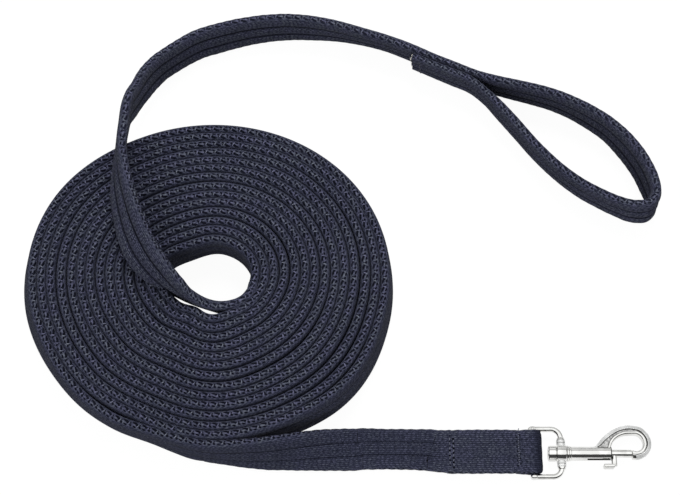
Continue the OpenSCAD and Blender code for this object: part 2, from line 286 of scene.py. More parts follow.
def lean_across(along: Vec, lean: Vec) -> Vec:
    """Width direction of a strap that leans its top edge to the right of travel.

    Args:
        along: Directions of travel, one row each.
        lean: Lean in degrees, one value each.

    Returns:
        Unit vectors from the bottom edge to the top edge.
    """
    right = np.cross(along, [0.0, 0.0, 1.0])
    right /= np.linalg.norm(right, axis=1)[:, None]
    up = np.cross(right, along)
    a = np.radians(lean)[:, None]
    return np.cos(a) * up + np.sin(a) * right


def catmull(rows: Vec, per: int) -> Vec:
    """Catmull-Rom curve through all rows but the first and the last, which only steer it.

    Args:
        rows: The points, one row each.
        per: Steps from one point to the next.

    Returns:
        The curve's points, one row each.
    """
    t = np.linspace(0, 1, per, endpoint=False)[:, None]
    parts = []
    for i in range(1, len(rows) - 2):
        p0, p1, p2, p3 = rows[i - 1 : i + 3]
        parts.append(
            0.5 * (2 * p1 + (p2 - p0) * t + (2 * p0 - 5 * p1 + 4 * p2 - p3) * t**2
                   + (3 * p1 - p0 - 3 * p2 + p3) * t**3)
        )
    parts.append(rows[-2][None, :])
    return np.vstack(parts)


def even(rows: Vec, pitch: float) -> Vec:
    """Spaces rows evenly along the path in their first three columns.

    Args:
        rows: The path, with any other columns beside it.
        pitch: Distance from row to row, about.

    Returns:
        The new rows.
    """
    run = np.concatenate([[0.0], np.cumsum(np.linalg.norm(np.diff(rows[:, :3], axis=0), axis=1))])
    count = max(2, round(run[-1] / pitch) + 1)
    at = np.linspace(0, run[-1], count)
    return np.stack([np.interp(at, run, rows[:, c]) for c in range(rows.shape[1])], axis=1)


def lifted(stations: list[Station], thick: list[float]) -> Vec:
    """Turns stations into rows for a track.

    Args:
        stations: The stations of a route.
        thick: The strap's thickness at each.

    Returns:
        Rows of x, y, z of the middle, lean and thickness.
    """
    rows = []
    for (x, y, lift, lean), t in zip(stations, thick, strict=True):
        a = math.radians(lean)
        z = lift + S.strap_w / 2 * abs(math.cos(a)) + t / 2 * abs(math.sin(a))
        rows.append((x, y, z, lean, t))
    return np.array(rows)


def leaning_track(rows: Vec, pitch: float, sunk: float = 1.0) -> Track:
    """A track of full width that leans as its rows say.

    Args:
        rows: Rows of x, y, z of the middle, lean and thickness.
        pitch: Distance from one cross-section to the next.
        sunk: How far the grooves are sunk, one for a strap that is pulled tight.

    Returns:
        The track.
    """
    rows = even(rows, pitch)
    across = lean_across(travel(rows[:, :3]), rows[:, 3])
    count = len(rows)
    return Track(rows[:, :3], across, rows[:, 4], np.full(count, S.strap_w), np.full(count, sunk))


@dataclass(frozen=True)
class StitchRow:
    """A row of needle holes across the flat strap, in millimetres, and the painted shade in them.
    """

    x: float
    first_y: float
    count: int
    dark: float = 0.35


STITCH = 2.85
REAR_ROWS = (
    StitchRow(S.fold_x + 1.6, S.bar_y - 8.0, 7),
    StitchRow(S.fold_x + 3.8, S.bar_y - 9.4, 7, 0.7),
)
FRONT_ROWS = (
    StitchRow(S.bar_x - 9.9, S.bar_y - 8.4, 7),
    StitchRow(S.bar_x - 8.7, S.bar_y - 7.0, 7),
)


class Section:
    """The strap's cross-section: round plaited edges and faces with three padded channels.

    Attributes:
        EDGE: Width of a plaited edge.
        ROUND: Exponent of the edge's curve, one for an ellipse.
        GROOVE: Distance of the two grooves from the face's middle line.
        GROOVE_W: Reach of a groove to each side.
        GROOVE_DEEP: Depth of a groove.
        CROWN: How far a channel stands out between its grooves.
        LEVEL: How far the channels lie below the edges.
    """

    EDGE = 2.9
    ROUND = 0.92
    GROOVE = 4.0
    GROOVE_W = 0.4
    GROOVE_DEEP = 0.28
    CROWN = 0.34
    LEVEL = 0.15

    def __init__(self, edge_steps: int, face: tuple[float, ...], bottom_steps: int) -> None:
        """Lays out the points around the section.

        Args:
            edge_steps: Steps from the top edge's crest to the face.
            face: Fractions across the flat face, from the top edge to the bottom edge.
            bottom_steps: Steps from the face to the bottom edge's crest.
        """
        half = [("edge", i / edge_steps * 90, 1) for i in range(edge_steps + 1)]
        half += [("face", f, 0) for f in face]
        half += [("edge", 90 - i / bottom_steps * 90, -1) for i in range(bottom_steps + 1)]
        self.half = half

    def points(self, width: float, thick: float, sunk: float = 1.0) -> tuple[Vec, Vec, Vec]:
        """Places of the points for one size of strap.

        Args:
            width: Strap width in millimetres.
            thick: Strap thickness in millimetres.
            sunk: How far the grooves are sunk, from nought to one.

        Returns:
            Heights across, offsets along the face normal, and signed distance to the nearer crest.
        """
        rn = thick / 2
        flat = width / 2 - self.EDGE
        quarter = math.pi / 4 * (S.strap_t / 2 + self.EDGE)
        a, b, q = [], [], []
        for kind, value, side in self.half:
            if kind == "edge":
                t = math.radians(value)
                a.append(side * (flat + self.EDGE * math.cos(t) ** self.ROUND))
                b.append(rn * math.sin(t) ** self.ROUND)
                q.append(quarter * value / 90)
            else:
                h = flat * (1 - 2 * value)
                dip = math.exp(-(((abs(h) - self.GROOVE) / self.GROOVE_W) ** 2))
                dip = self.GROOVE_DEEP * sunk * dip
                crown = self.CROWN * math.cos(h / self.GROOVE * math.pi / 2) ** 2
                a.append(h)
                b.append(rn + (crown - self.LEVEL) * sunk - dip * min(1.0, thick / S.sewn_t))
                q.append(quarter + flat - abs(h))
        back = range(len(a) - 2, 0, -1)
        return (
            np.array(a + [a[i] for i in back]),
            np.array(b + [-b[i] for i in back]),
            np.array(q + [-q[i] for i in back]),
        )


FINE = Section(
    6,
    (
        0.08, 0.17, 0.23, 0.26, 0.29, 0.32, 0.35, 0.42, 0.5,
        0.58, 0.65, 0.68, 0.71, 0.74, 0.77, 0.83, 0.92,
    ),
    6,
)
LEAN = Section(4, (0.13, 0.24, 0.29, 0.34, 0.42, 0.5, 0.58, 0.66, 0.71, 0.76, 0.87), 2)

Face = tuple[int, ...]


def skin(rings: int, sides: int, first: int = 0) -> list[Face]:
    """Faces between rings of vertices that follow one another.

    Args:
        rings: How many rings.
        sides: Vertices in each ring.
        first: Number of the first ring's first vertex.

    Returns:
        A face for every side of every step.
    """
    return [
        (low + j, low + (j + 1) % sides, low + sides + (j + 1) % sides, low + sides + j)
        for low in range(first, first + (rings - 1) * sides, sides)
        for j in range(sides)
    ]


def hoop(middle: Vec, r: float, towards: Vec, beside: Vec, sides: int) -> list[Vec]:
    """A round ring of vertices.

    Args:
        middle: Its middle.
        r: Its radius.
        towards: Direction of the first vertex.
        beside: Direction of the vertex a quarter further on.
        sides: How many vertices.

    Returns:
        The vertices.
    """
    turns = [2 * math.pi * j / sides for j in range(sides)]
    return [middle + r * (math.cos(a) * towards + math.sin(a) * beside) for a in turns]


def closed_tube(rings: int, sides: int, first: int) -> list[Face]:
    """Faces of a tube through hoops, with both its ends closed.

    Args:
        rings: How many hoops.
        sides: Vertices in each hoop.
        first: Number of the first hoop's first vertex.

    Returns:
        The tube's faces, pointing outwards.
    """
    last = first + (rings - 1) * sides
    ends = [tuple(range(first, first + sides)), tuple(range(last + sides - 1, last - 1, -1))]
    return [(f[0], f[3], f[2], f[1]) for f in skin(rings, sides, first)] + ends


def new_mesh(name: str, verts: Vec, faces: list[Face], uv: Vec | None = None) -> bpy.types.Object:
    """Makes a smooth-shaded object at the origin from vertices in millimetres.

    Args:
        name: Object name.
        verts: One row per vertex.
        faces: Vertex indices of each face.
        uv: Optional, one row per face corner.

    Returns:
        The new object, linked to the scene.
    """
    mesh = bpy.data.meshes.new(name)
    mesh.from_pydata([tuple(v) for v in np.asarray(verts) * MM], [], faces)
    if uv is not None:
        layer = mesh.uv_layers.new(name="weave")
        layer.data.foreach_set("uv", np.asarray(uv, dtype=np.float32).ravel())
    mesh.shade_smooth()
    mesh.update()
    obj = bpy.data.objects.new(name, mesh)
    bpy.context.scene.collection.objects.link(obj)
    return obj


# The strap's width, in millimetres: how far its edges bulge in every cell and where along the cell,
# and slow waves, each with its height, its pace and its start.
BULGE = 0.22
BULGE_AT = 0.6
WAVES = ((0.12, 0.9, 0.0), (0.1, 2.3, 1.0))


def strap_mesh(
    name: str, track: Track, section: Section, start_mm: float, scallop: bool
) -> bpy.types.Object:
    """Sweeps a section along a track.

    Args:
        name: Object name.
        track: The path.
        section: The cross-section.
        start_mm: Length of strap before this piece, for an unbroken weave.
        scallop: Whether the plaited edges bulge at every cell.

    Returns:
        The strap as an object with its weave coordinates.
    """
    cells = (track.run + start_mm) / S.cell
    bulge = BULGE * np.cos(2 * math.pi * (cells - BULGE_AT)) * scallop
    wavy = sum(height * np.sin(cells * pace + start) for height, pace, start in WAVES)
    width = track.width + bulge + wavy * scallop
    rings = []
    for i in range(len(cells)):
        h, o, _ = section.points(width[i], track.thick[i], track.sunk[i])
        rings.append(track.centre[i] + h[:, None] * track.across[i] + o[:, None] * track.normal[i])
    crest = section.points(width[0], track.thick[0], track.sunk[0])[2]
    m, count = len(crest), len(rings)
    faces = skin(count, m)
    faces += [tuple(range(m - 1, -1, -1)), tuple(range((count - 1) * m, count * m))]
    su, sv = np.meshgrid(cells, crest, indexing="ij")
    us = np.stack([su[:-1], su[:-1], su[1:], su[1:]], axis=-1)
    qj, qk = sv[:-1], np.roll(sv, -1, axis=1)[:-1]
    vs = np.stack([qj, qk, qk, qj], axis=-1)
    sides = np.stack([us, vs], axis=-1).reshape(-1, 2)
    ends = [[cells[0], q] for q in crest[::-1]] + [[cells[-1], q] for q in crest]
    return new_mesh(name, np.vstack(rings), faces, np.vstack([sides, ends]))


# --------------------------------------------------------------------------------------------------
# Shaders
# --------------------------------------------------------------------------------------------------

Input = "float | Signal"


class Signal:
    """A number that flows through shader nodes, with arithmetic."""

    def __init__(self, graph: Graph, socket: bpy.types.NodeSocket) -> None:
        """Wraps a node's output."""
        self.graph = graph
        self.socket = socket

    def _do(self, op: str, *others: Input) -> Signal:
        """A Math node that starts with this number."""
        return self.graph.math(op, self, *others)

    def __add__(self, o: Input) -> Signal:
        """Sum."""
        return self._do("ADD", o)

    __radd__ = __add__

    def __sub__(self, o: Input) -> Signal:
        """Difference."""
        return self._do("SUBTRACT", o)

    def __rsub__(self, o: Input) -> Signal:
        """Difference, the other way round."""
        return self.graph.math("SUBTRACT", o, self)

    def __mul__(self, o: Input) -> Signal:
        """Product."""
        return self._do("MULTIPLY", o)

    __rmul__ = __mul__

    def __truediv__(self, o: Input) -> Signal:
        """Quotient."""
        return self._do("DIVIDE", o)

    def abs(self) -> Signal:
        """Size without sign."""
        return self._do("ABSOLUTE")

    def fract(self) -> Signal:
        """Part after the point."""
        return self._do("FRACT")

    def floor(self) -> Signal:
        """Whole part."""
        return self._do("FLOOR")

    def sin(self) -> Signal:
        """Sine of an angle in radians."""
        return self._do("SINE")

    def root(self) -> Signal:
        """Square root."""
        return self._do("SQRT")

    def top(self, o: Input) -> Signal:
        """The larger of two."""
        return self._do("MAXIMUM", o)

    def low(self, o: Input) -> Signal:
        """The smaller of two."""
        return self._do("MINIMUM", o)


class Graph:
    """Adds nodes to a node tree."""

    def __init__(self, tree: bpy.types.NodeTree) -> None:
        """Keeps the tree."""
        self.tree = tree

    def node(self, kind: str, **settings: object) -> bpy.types.Node:
        """Adds a node.

        Args:
            kind: The node's type.
            **settings: Its properties.

        Returns:
            The node.
        """
        n = self.tree.nodes.new(kind)
        for key, value in settings.items():
            setattr(n, key, value)
        return n

    def plug(self, value: object, socket: bpy.types.NodeSocket) -> None:
        """Feeds an input.

        Args:
            value: A signal or a socket to link, or a constant to set.
            socket: The input.
        """
        if isinstance(value, Signal):
            self.tree.links.new(value.socket, socket)
        elif isinstance(value, bpy.types.NodeSocket):
            self.tree.links.new(value, socket)
        else:
            socket.default_value = value

    def math(self, op: str, *values: Input) -> Signal:
        """A Math node.

        Args:
            op: Its operation.
            *values: Its inputs.

        Returns:
            Its result.
        """
        n = self.node("ShaderNodeMath", operation=op)
        for i, v in enumerate(values):
            self.plug(v, n.inputs[i])
        return Signal(self, n.outputs[0])

    def step(self, edge0: float, edge1: float, x: Signal) -> Signal:
        """Smooth step, which falls where the second edge is the lower one.

        Args:
            edge0: Where it is nought.
            edge1: Where it is one.
            x: The number that it follows.

        Returns:
            The step.
        """
        n = self.node("ShaderNodeMapRange", interpolation_type="SMOOTHSTEP")
        flip = edge0 > edge1
        self.plug(x, n.inputs["Value"])
        n.inputs["From Min"].default_value = min(edge0, edge1)
        n.inputs["From Max"].default_value = max(edge0, edge1)
        n.inputs["To Min"].default_value = 1.0 if flip else 0.0
        n.inputs["To Max"].default_value = 0.0 if flip else 1.0
        return Signal(self, n.outputs["Result"])

    def parts(self, vector: bpy.types.NodeSocket) -> list[Signal]:
        """The three numbers of a vector."""
        sep = self.node("ShaderNodeSeparateXYZ")
        self.tree.links.new(vector, sep.inputs[0])
        return [Signal(self, socket) for socket in sep.outputs]

    def ray(self, kind: str) -> Signal:
        """One for rays of a kind, such as "Is Camera Ray", and nought for all others."""
        return Signal(self, self.node("ShaderNodeLightPath").outputs[kind])

    def weave(self) -> tuple[Signal, Signal]:
        """The weave's coordinates: cells along the strap, and millimetres from the crest."""
        along, across, _ = self.parts(self.node("ShaderNodeUVMap", uv_map="weave").outputs[0])
        return along, across

    def place(self, axis: int) -> Signal:
        """A coordinate in object space, in millimetres."""
        return self.parts(self.node("ShaderNodeTexCoord").outputs["Object"])[axis] / MM

    def noise(self, scale: float, detail: float = 2.0, rough: float = 0.5) -> Signal:
        """Noise in object space.

        Args:
            scale: Its scale.
            detail: Finer octaves.
            rough: Strength of the finer octaves.

        Returns:
            The noise, from nought to one.
        """
        coord = self.node("ShaderNodeTexCoord")
        n = self.node("ShaderNodeTexNoise")
        self.tree.links.new(coord.outputs["Object"], n.inputs["Vector"])
        n.inputs["Scale"].default_value = scale
        n.inputs["Detail"].default_value = detail
        n.inputs["Roughness"].default_value = rough
        return Signal(self, n.outputs[0])

    def grain(self, x: Signal, y: Signal, detail: float = 1.0) -> Signal:
        """Noise over two signals, sharpened.

        Args:
            x: The first signal.
            y: The second signal.
            detail: Finer octaves.

        Returns:
            The noise, from nought to one.
        """
        both = self.node("ShaderNodeCombineXYZ")
        self.plug(x, both.inputs[0])
        self.plug(y, both.inputs[1])
        n = self.node("ShaderNodeTexNoise")
        self.tree.links.new(both.outputs[0], n.inputs["Vector"])
        n.inputs["Scale"].default_value = 1.0
        n.inputs["Detail"].default_value = detail
        return self.step(0.28, 0.72, Signal(self, n.outputs[0]))

    def blend(self, fac: Input, a: object, b: object) -> bpy.types.NodeSocket:
        """Mixes two colours.

        Args:
            fac: Share of the second colour.
            a: The first colour.
            b: The second colour.

        Returns:
            The mixed colour.
        """
        n = self.node("ShaderNodeMix", data_type="RGBA")
        self.plug(fac, n.inputs[0])
        self.plug(a, n.inputs[6])
        self.plug(b, n.inputs[7])
        return n.outputs[2]


Colour = tuple[float, float, float, float]


def grey(level: float) -> Colour:
    """A grey, linear."""
    return (level, level, level, 1.0)


class Surface(Graph):
    """Builds one material around its Principled shader."""

    def __init__(self, name: str) -> None:
        """Starts the material.

        Args:
            name: The material's name.
        """
        self.material = bpy.data.materials.new(name)
        self.material.use_nodes = True
        super().__init__(self.material.node_tree)
        self.shader = next(n for n in self.tree.nodes if n.type == "BSDF_PRINCIPLED")

    def bump(self, height: Signal, distance: float) -> None:
        """Bumps the shader's normal.

        Args:
            height: The relief.
            distance: Its full depth, in metres.
        """
        n = self.node("ShaderNodeBump")
        n.inputs["Strength"].default_value = 1.0
        n.inputs["Distance"].default_value = distance
        self.plug(height, n.inputs["Height"])
        self.tree.links.new(n.outputs[0], self.shader.inputs["Normal"])

    def set(self, **values: object) -> None:
        """Sets the shader's inputs; underscores in names stand for spaces."""
        for key, value in values.items():
            self.plug(value, self.shader.inputs[key.replace("_", " ")])


@dataclass(frozen=True)
class Spot:
    """An oval detail of the plait, repeated in every cell of it.

    Attributes:
        at: Place along the cell, from nought to one.
        off: Millimetres from the crest.
        long: Half its length, in millimetres.
        wide: Half its width, in millimetres.
        tilt: Its turn, in degrees.
        soft: Width of its soft rim, as a share of its radius.
    """

    at: float
    off: float
    long: float
    wide: float
    tilt: float
    soft: float

    def mask(self, g: Graph, cells: Signal, q: Signal) -> Signal:
        """One inside the oval and nought outside.

        Args:
            g: The material's graph.
            cells: Cells along the strap.
            q: Millimetres from the crest.

        Returns:
            The mask.
        """
        x = ((cells + (0.5 - self.at)).fract() - 0.5) * S.cell
        y = q - self.off
        c, n = math.cos(math.radians(self.tilt)), math.sin(math.radians(self.tilt))
        u = (x * c + y * n) / self.long
        v = (y * c - x * n) / self.wide
        return g.step(1.0 + self.soft / 2, 1.0 - self.soft / 2, (u * u + v * v).root())


SLANTED_STRAND = Spot(0.105, 0.0, 1.15, 0.33, 62, 0.4)
PADDED_STRAND = Spot(0.60, -0.10, 1.5, 0.5, -10, 0.7)
# The darkness of these pits is painted shade.
PITS = (
    Spot(0.46, -1.2, 1.75, 0.62, -15, 0.4), Spot(0.24, -0.55, 0.75, 0.6, 20, 0.4),
    Spot(0.44, 0.95, 1.05, 0.5, -20, 0.4), Spot(0.90, 0.55, 0.8, 0.55, -40, 0.4),
    Spot(0.93, -0.75, 0.35, 0.45, 0, 0.4),
)


@dataclass(frozen=True)
class Weave:
    """Finish of the woven strap. Colours are linear.

    Attributes:
        name: The material's name.
        dark: Colour of the painted shade in the pits, grooves and needle holes.
        mid: Colour of most of the yarn.
        light: Colour of the brightest yarn, with the painted highlight on the plait's strands.
        violet: The same in places where it is more violet.
        relief: Depth of the bump, in metres.
        row: Spacing of the face's rows of stitches, in millimetres.
        pit_shade: How dark the painted shade in the pits is.
        lift: Overall brightness.
        channel: How dark the painted shade in the face's grooves is.
        channel_mm: Reach of that painted shade to each side, in millimetres.
        thread: How bright the face's rows are.
        slash_highlight: How bright the painted highlight on the slanted strands is.
        holes: Rows of needle holes in the sewn fold.
        flat_lift: Extra brightness on the sewn fold.
        groove_q: Distance of the grooves from the nearer crest, in millimetres.
        edge_q: Width of the plaited edge from its crest, in millimetres.
    """

    name: str = "webbing"
    dark: Colour = (0.0016, 0.0019, 0.0045, 1.0)
    mid: Colour = (0.024, 0.0265, 0.046, 1.0)
    light: Colour = (0.122, 0.134, 0.165, 1.0)
    violet: Colour = (0.115, 0.117, 0.188, 1.0)
    relief: float = 0.0005
    row: float = 1.15
    pit_shade: float = 0.95
    lift: float = 1.0
    channel: float = 0.5
    channel_mm: float = 0.7
    thread: float = 1.0
    slash_highlight: float = 0.64
    holes: tuple[StitchRow, ...] = ()
    flat_lift: float = 0.14
    groove_q: float = 10.2
    edge_q: float = 2.9

    def plait(self, g: Graph, cells: Signal, q: Signal) -> tuple[Signal, Signal]:
        """The plaited edge: a slanted strand, a padded strand and the pits around them.

        Args:
            g: The material's graph.
            cells: Cells along the strap.
            q: Millimetres from the crest.

        Returns:
            Tone and height.
        """
        x = cells + (g.noise(70.0) - 0.5) * 0.12
        vary = g.noise(150.0, 1.0)
        slash = SLANTED_STRAND.mask(g, x, q)
        bean = PADDED_STRAND.mask(g, x, q)
        pits = PITS[0].mask(g, x, q)
        for spot in PITS[1:]:
            pits = pits.top(spot.mask(g, x, q))
        side = q.abs()
        far = side / 0.75
        dashes = g.step(0.34, 0.1, ((x * 2.0 + q * 0.22 + far.floor() * 0.5).fract() - 0.5).abs())
        dashes = dashes * g.step(0.46, 0.15, (far.fract() - 0.5).abs()) * g.step(1.6, 2.0, side)
        # Painted shade in the pits and dashes, painted highlight on the strands.
        shaded_pits = pits * (1.0 - slash * 0.9) * (1.0 - bean * 0.8) * (0.65 + vary * 0.7).low(1.0)
        strands = bean * (vary * 0.24) + slash * (vary * self.slash_highlight)
        tone = (0.49 + strands) * (1.0 - shaded_pits * self.pit_shade) * (1.0 - dashes * (self.pit_shade * 0.5))
        height = 0.45 + bean * 0.45 + slash * 0.55 - shaded_pits * 0.9 - dashes * 0.35
        return tone, height

    def face(self, g: Graph, cells: Signal, q: Signal) -> tuple[Signal, Signal]:
        """The flat face: short lengthwise stitches in staggered rows, and two dark grooves.

        Args:
            g: The material's graph.
            cells: Cells along the strap.
            q: Millimetres from the crest.

        Returns:
            Tone and height.
        """
        side = q.abs()
        row = side / self.row
        shift = ((row.floor() * 12.9).sin() * 43.7).fract()
        stitch = cells * 2.1 + shift + (g.noise(240.0) - 0.5) * 1.2
        line = g.step(0.5, 0.22, (row.fract() - 0.5).abs())
        rib = line * g.step(0.5, 0.2, (stitch.fract() - 0.5).abs())
        # Painted shade along the two grooves.
        groove = g.step(self.channel_mm, 0.1, (side - self.groove_q).abs())
        if self.holes:
            groove = groove * (1.0 - 0.85 * self.sewn(g))
        knot = g.step(0.72, 1.0, g.grain(cells * 2.6, q * 1.8)) * g.step(4.0, 6.0, side)
        tone = 0.22 + line * (0.09 * self.thread) + rib * (0.19 * self.thread)
        tone = tone * (1.0 - groove * self.channel) * (1.0 - knot * 0.5)
        height = 0.3 + line * 0.3 + rib * 0.2 - groove * 0.5 - knot * 0.3
        return tone, height

    @staticmethod
    def sewn(g: Graph) -> Signal:
        """One on the flat sewn fold, nought on the rest of the strap."""
        return g.step(S.fold_x - 14, S.fold_x + 2, g.place(0))

    def hole_mask(self, g: Graph) -> Signal:
        """Needle holes in painted shade on the top of the sewn fold, placed in object space.

        Args:
            g: The material's graph.

        Returns:
            How dark they are, nought beside them.
        """
        px, py, pz = (g.place(i) for i in range(3))
        total = None
        for r in self.holes:
            k = (py - r.first_y) / STITCH
            dy = ((k + 0.5).fract() - 0.5) * STITCH
            dx = px - r.x
            near = g.step(0.85, 0.3, (dx * dx + dy * dy).root()) * r.dark
            near = near * g.step(-0.6, -0.4, k) * g.step(r.count - 0.4, r.count - 0.6, k)
            total = near if total is None else total.top(near)
        return total * g.step(5.5, 6.5, pz)

    def build(self) -> bpy.types.Material:
        """Makes the material.

        Returns:
            The material.
        """
        g = Surface(self.name)
        cells, q = g.weave()
        on_edge = g.step(self.edge_q + 0.4, self.edge_q - 0.4, q.abs())
        edge_tone, edge_height = self.plait(g, cells, q)
        face_tone, face_height = self.face(g, cells, q)
        fibre = g.noise(1250.0, 2.0, 0.7)
        blotch = g.noise(22.0, 3.0)
        streak = (g.grain(cells * 2.3, q * 1.15, 2.0) - 0.5) * (0.42 + on_edge * 0.3)
        tone = edge_tone * on_edge + face_tone * (1.0 - on_edge)
        height = edge_height * on_edge + face_height * (1.0 - on_edge) + (fibre - 0.5) * 0.16
        tone = tone * (streak + 0.98) * self.lift + (fibre - 0.5) * 0.42 + (blotch - 0.5) * 0.12
        if self.holes:
            # Painted shade in the needle holes.
            holes = self.hole_mask(g)
            # Painted shade, darker by half, where the strap curls round the bar.
            bar_shade = g.step(S.bar_x - 2, S.bar_x + 4, g.place(0))
            tone = tone * (1.0 + self.flat_lift * self.sewn(g)) * (1.0 - bar_shade * 0.5)
            tone = tone - holes
            height = height - holes * 1.2
        tone = tone.top(0.0).low(1.0)
        # The dark colour carries the painted shade, the light one the painted highlight.
        bright = g.blend(g.step(0.4, 0.62, g.noise(130.0)), self.light, self.violet)
        lower = g.blend((tone * 2.5).low(1.0), self.dark, self.mid)
        colour = g.blend(((tone - 0.4) * 1.67).top(0.0), lower, bright)
        g.bump(height, self.relief)
        g.set(Base_Color=colour, Roughness=0.85, Sheen_Weight=0.02, Sheen_Roughness=0.4)
        g.shader.inputs["Specular IOR Level"].default_value = 0.07
        return g.material


@dataclass(frozen=True)
class Plating:
    """Finish of nickel plate on a casting or a wire.

    Attributes:
        name: The material's name.
        colour: Its colour, linear.
        shade: Its colour in the duller clouds.
        rough: Its roughness.
        grain: Scale of the fine texture.
        relief: Depth of that texture, in metres.
        mottle: Scale of the clouds.
        metal: Share of metal in the finish.
    """

    name: str
    colour: Colour = (0.94, 0.94, 0.92, 1.0)
    shade: Colour = (0.8, 0.8, 0.78, 1.0)
    rough: float = 0.07
    grain: float = 700.0
    relief: float = 0.00003
    mottle: float = 160.0
    metal: float = 1.0

    def build(self) -> bpy.types.Material:
        """Makes the material, with a faint casting texture and a cloudy polish.

        Returns:
            The material.
        """
        g = Surface(self.name)
        fine = g.noise(self.grain, 3.0, 0.6)
        cloud = g.step(0.38, 0.62, g.noise(self.mottle, 3.0, 0.6))
        g.bump(fine, self.relief)
        g.set(
            Base_Color=g.blend(cloud, self.shade, self.colour),
            Metallic=self.metal,
            Roughness=cloud * -0.04 + (self.rough + 0.04),
        )
        return g.material


@dataclass(frozen=True)
class Yarn:
    """Finish of thread or bare core yarn, with twisted strands."""

    name: str
    colour: Colour
    lit: Colour
    twist: float = 1400.0
    relief: float = 0.0001

    def build(self) -> bpy.types.Material:
        """Makes the material.

        Returns:
            The material.
        """
        g = Surface(self.name)
        coarse = g.noise(self.twist, 3.0, 0.7)
        g.bump(coarse, self.relief)
        # The colour follows the relief: painted highlight on the raised strands, painted shade
        # between them.
        g.set(Base_Color=g.blend(coarse, self.colour, self.lit), Roughness=0.8, Sheen_Weight=0.1)
        return g.material


# --------------------------------------------------------------------------------------------------
# The webbing
# --------------------------------------------------------------------------------------------------


def dress(
    obj: bpy.types.Object, material: bpy.types.Material | None, body: Body, slot: Slot, *nodes: str
) -> None:
    """Gives a finished piece its material, the nodes that it stands for and its body.

    Args:
        obj: The piece.
        material: Its material, or None if it has its own.
        body: The body that it rides on.
        slot: Its slot in the record; not used.
        *nodes: The CAD nodes that it replaces.
    """
    if material is not None:
        obj.data.materials.append(material)
    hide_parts(*nodes)
    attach(obj, body.value)
    LOG.info("%s made", obj.name)


FLAT = 90.0


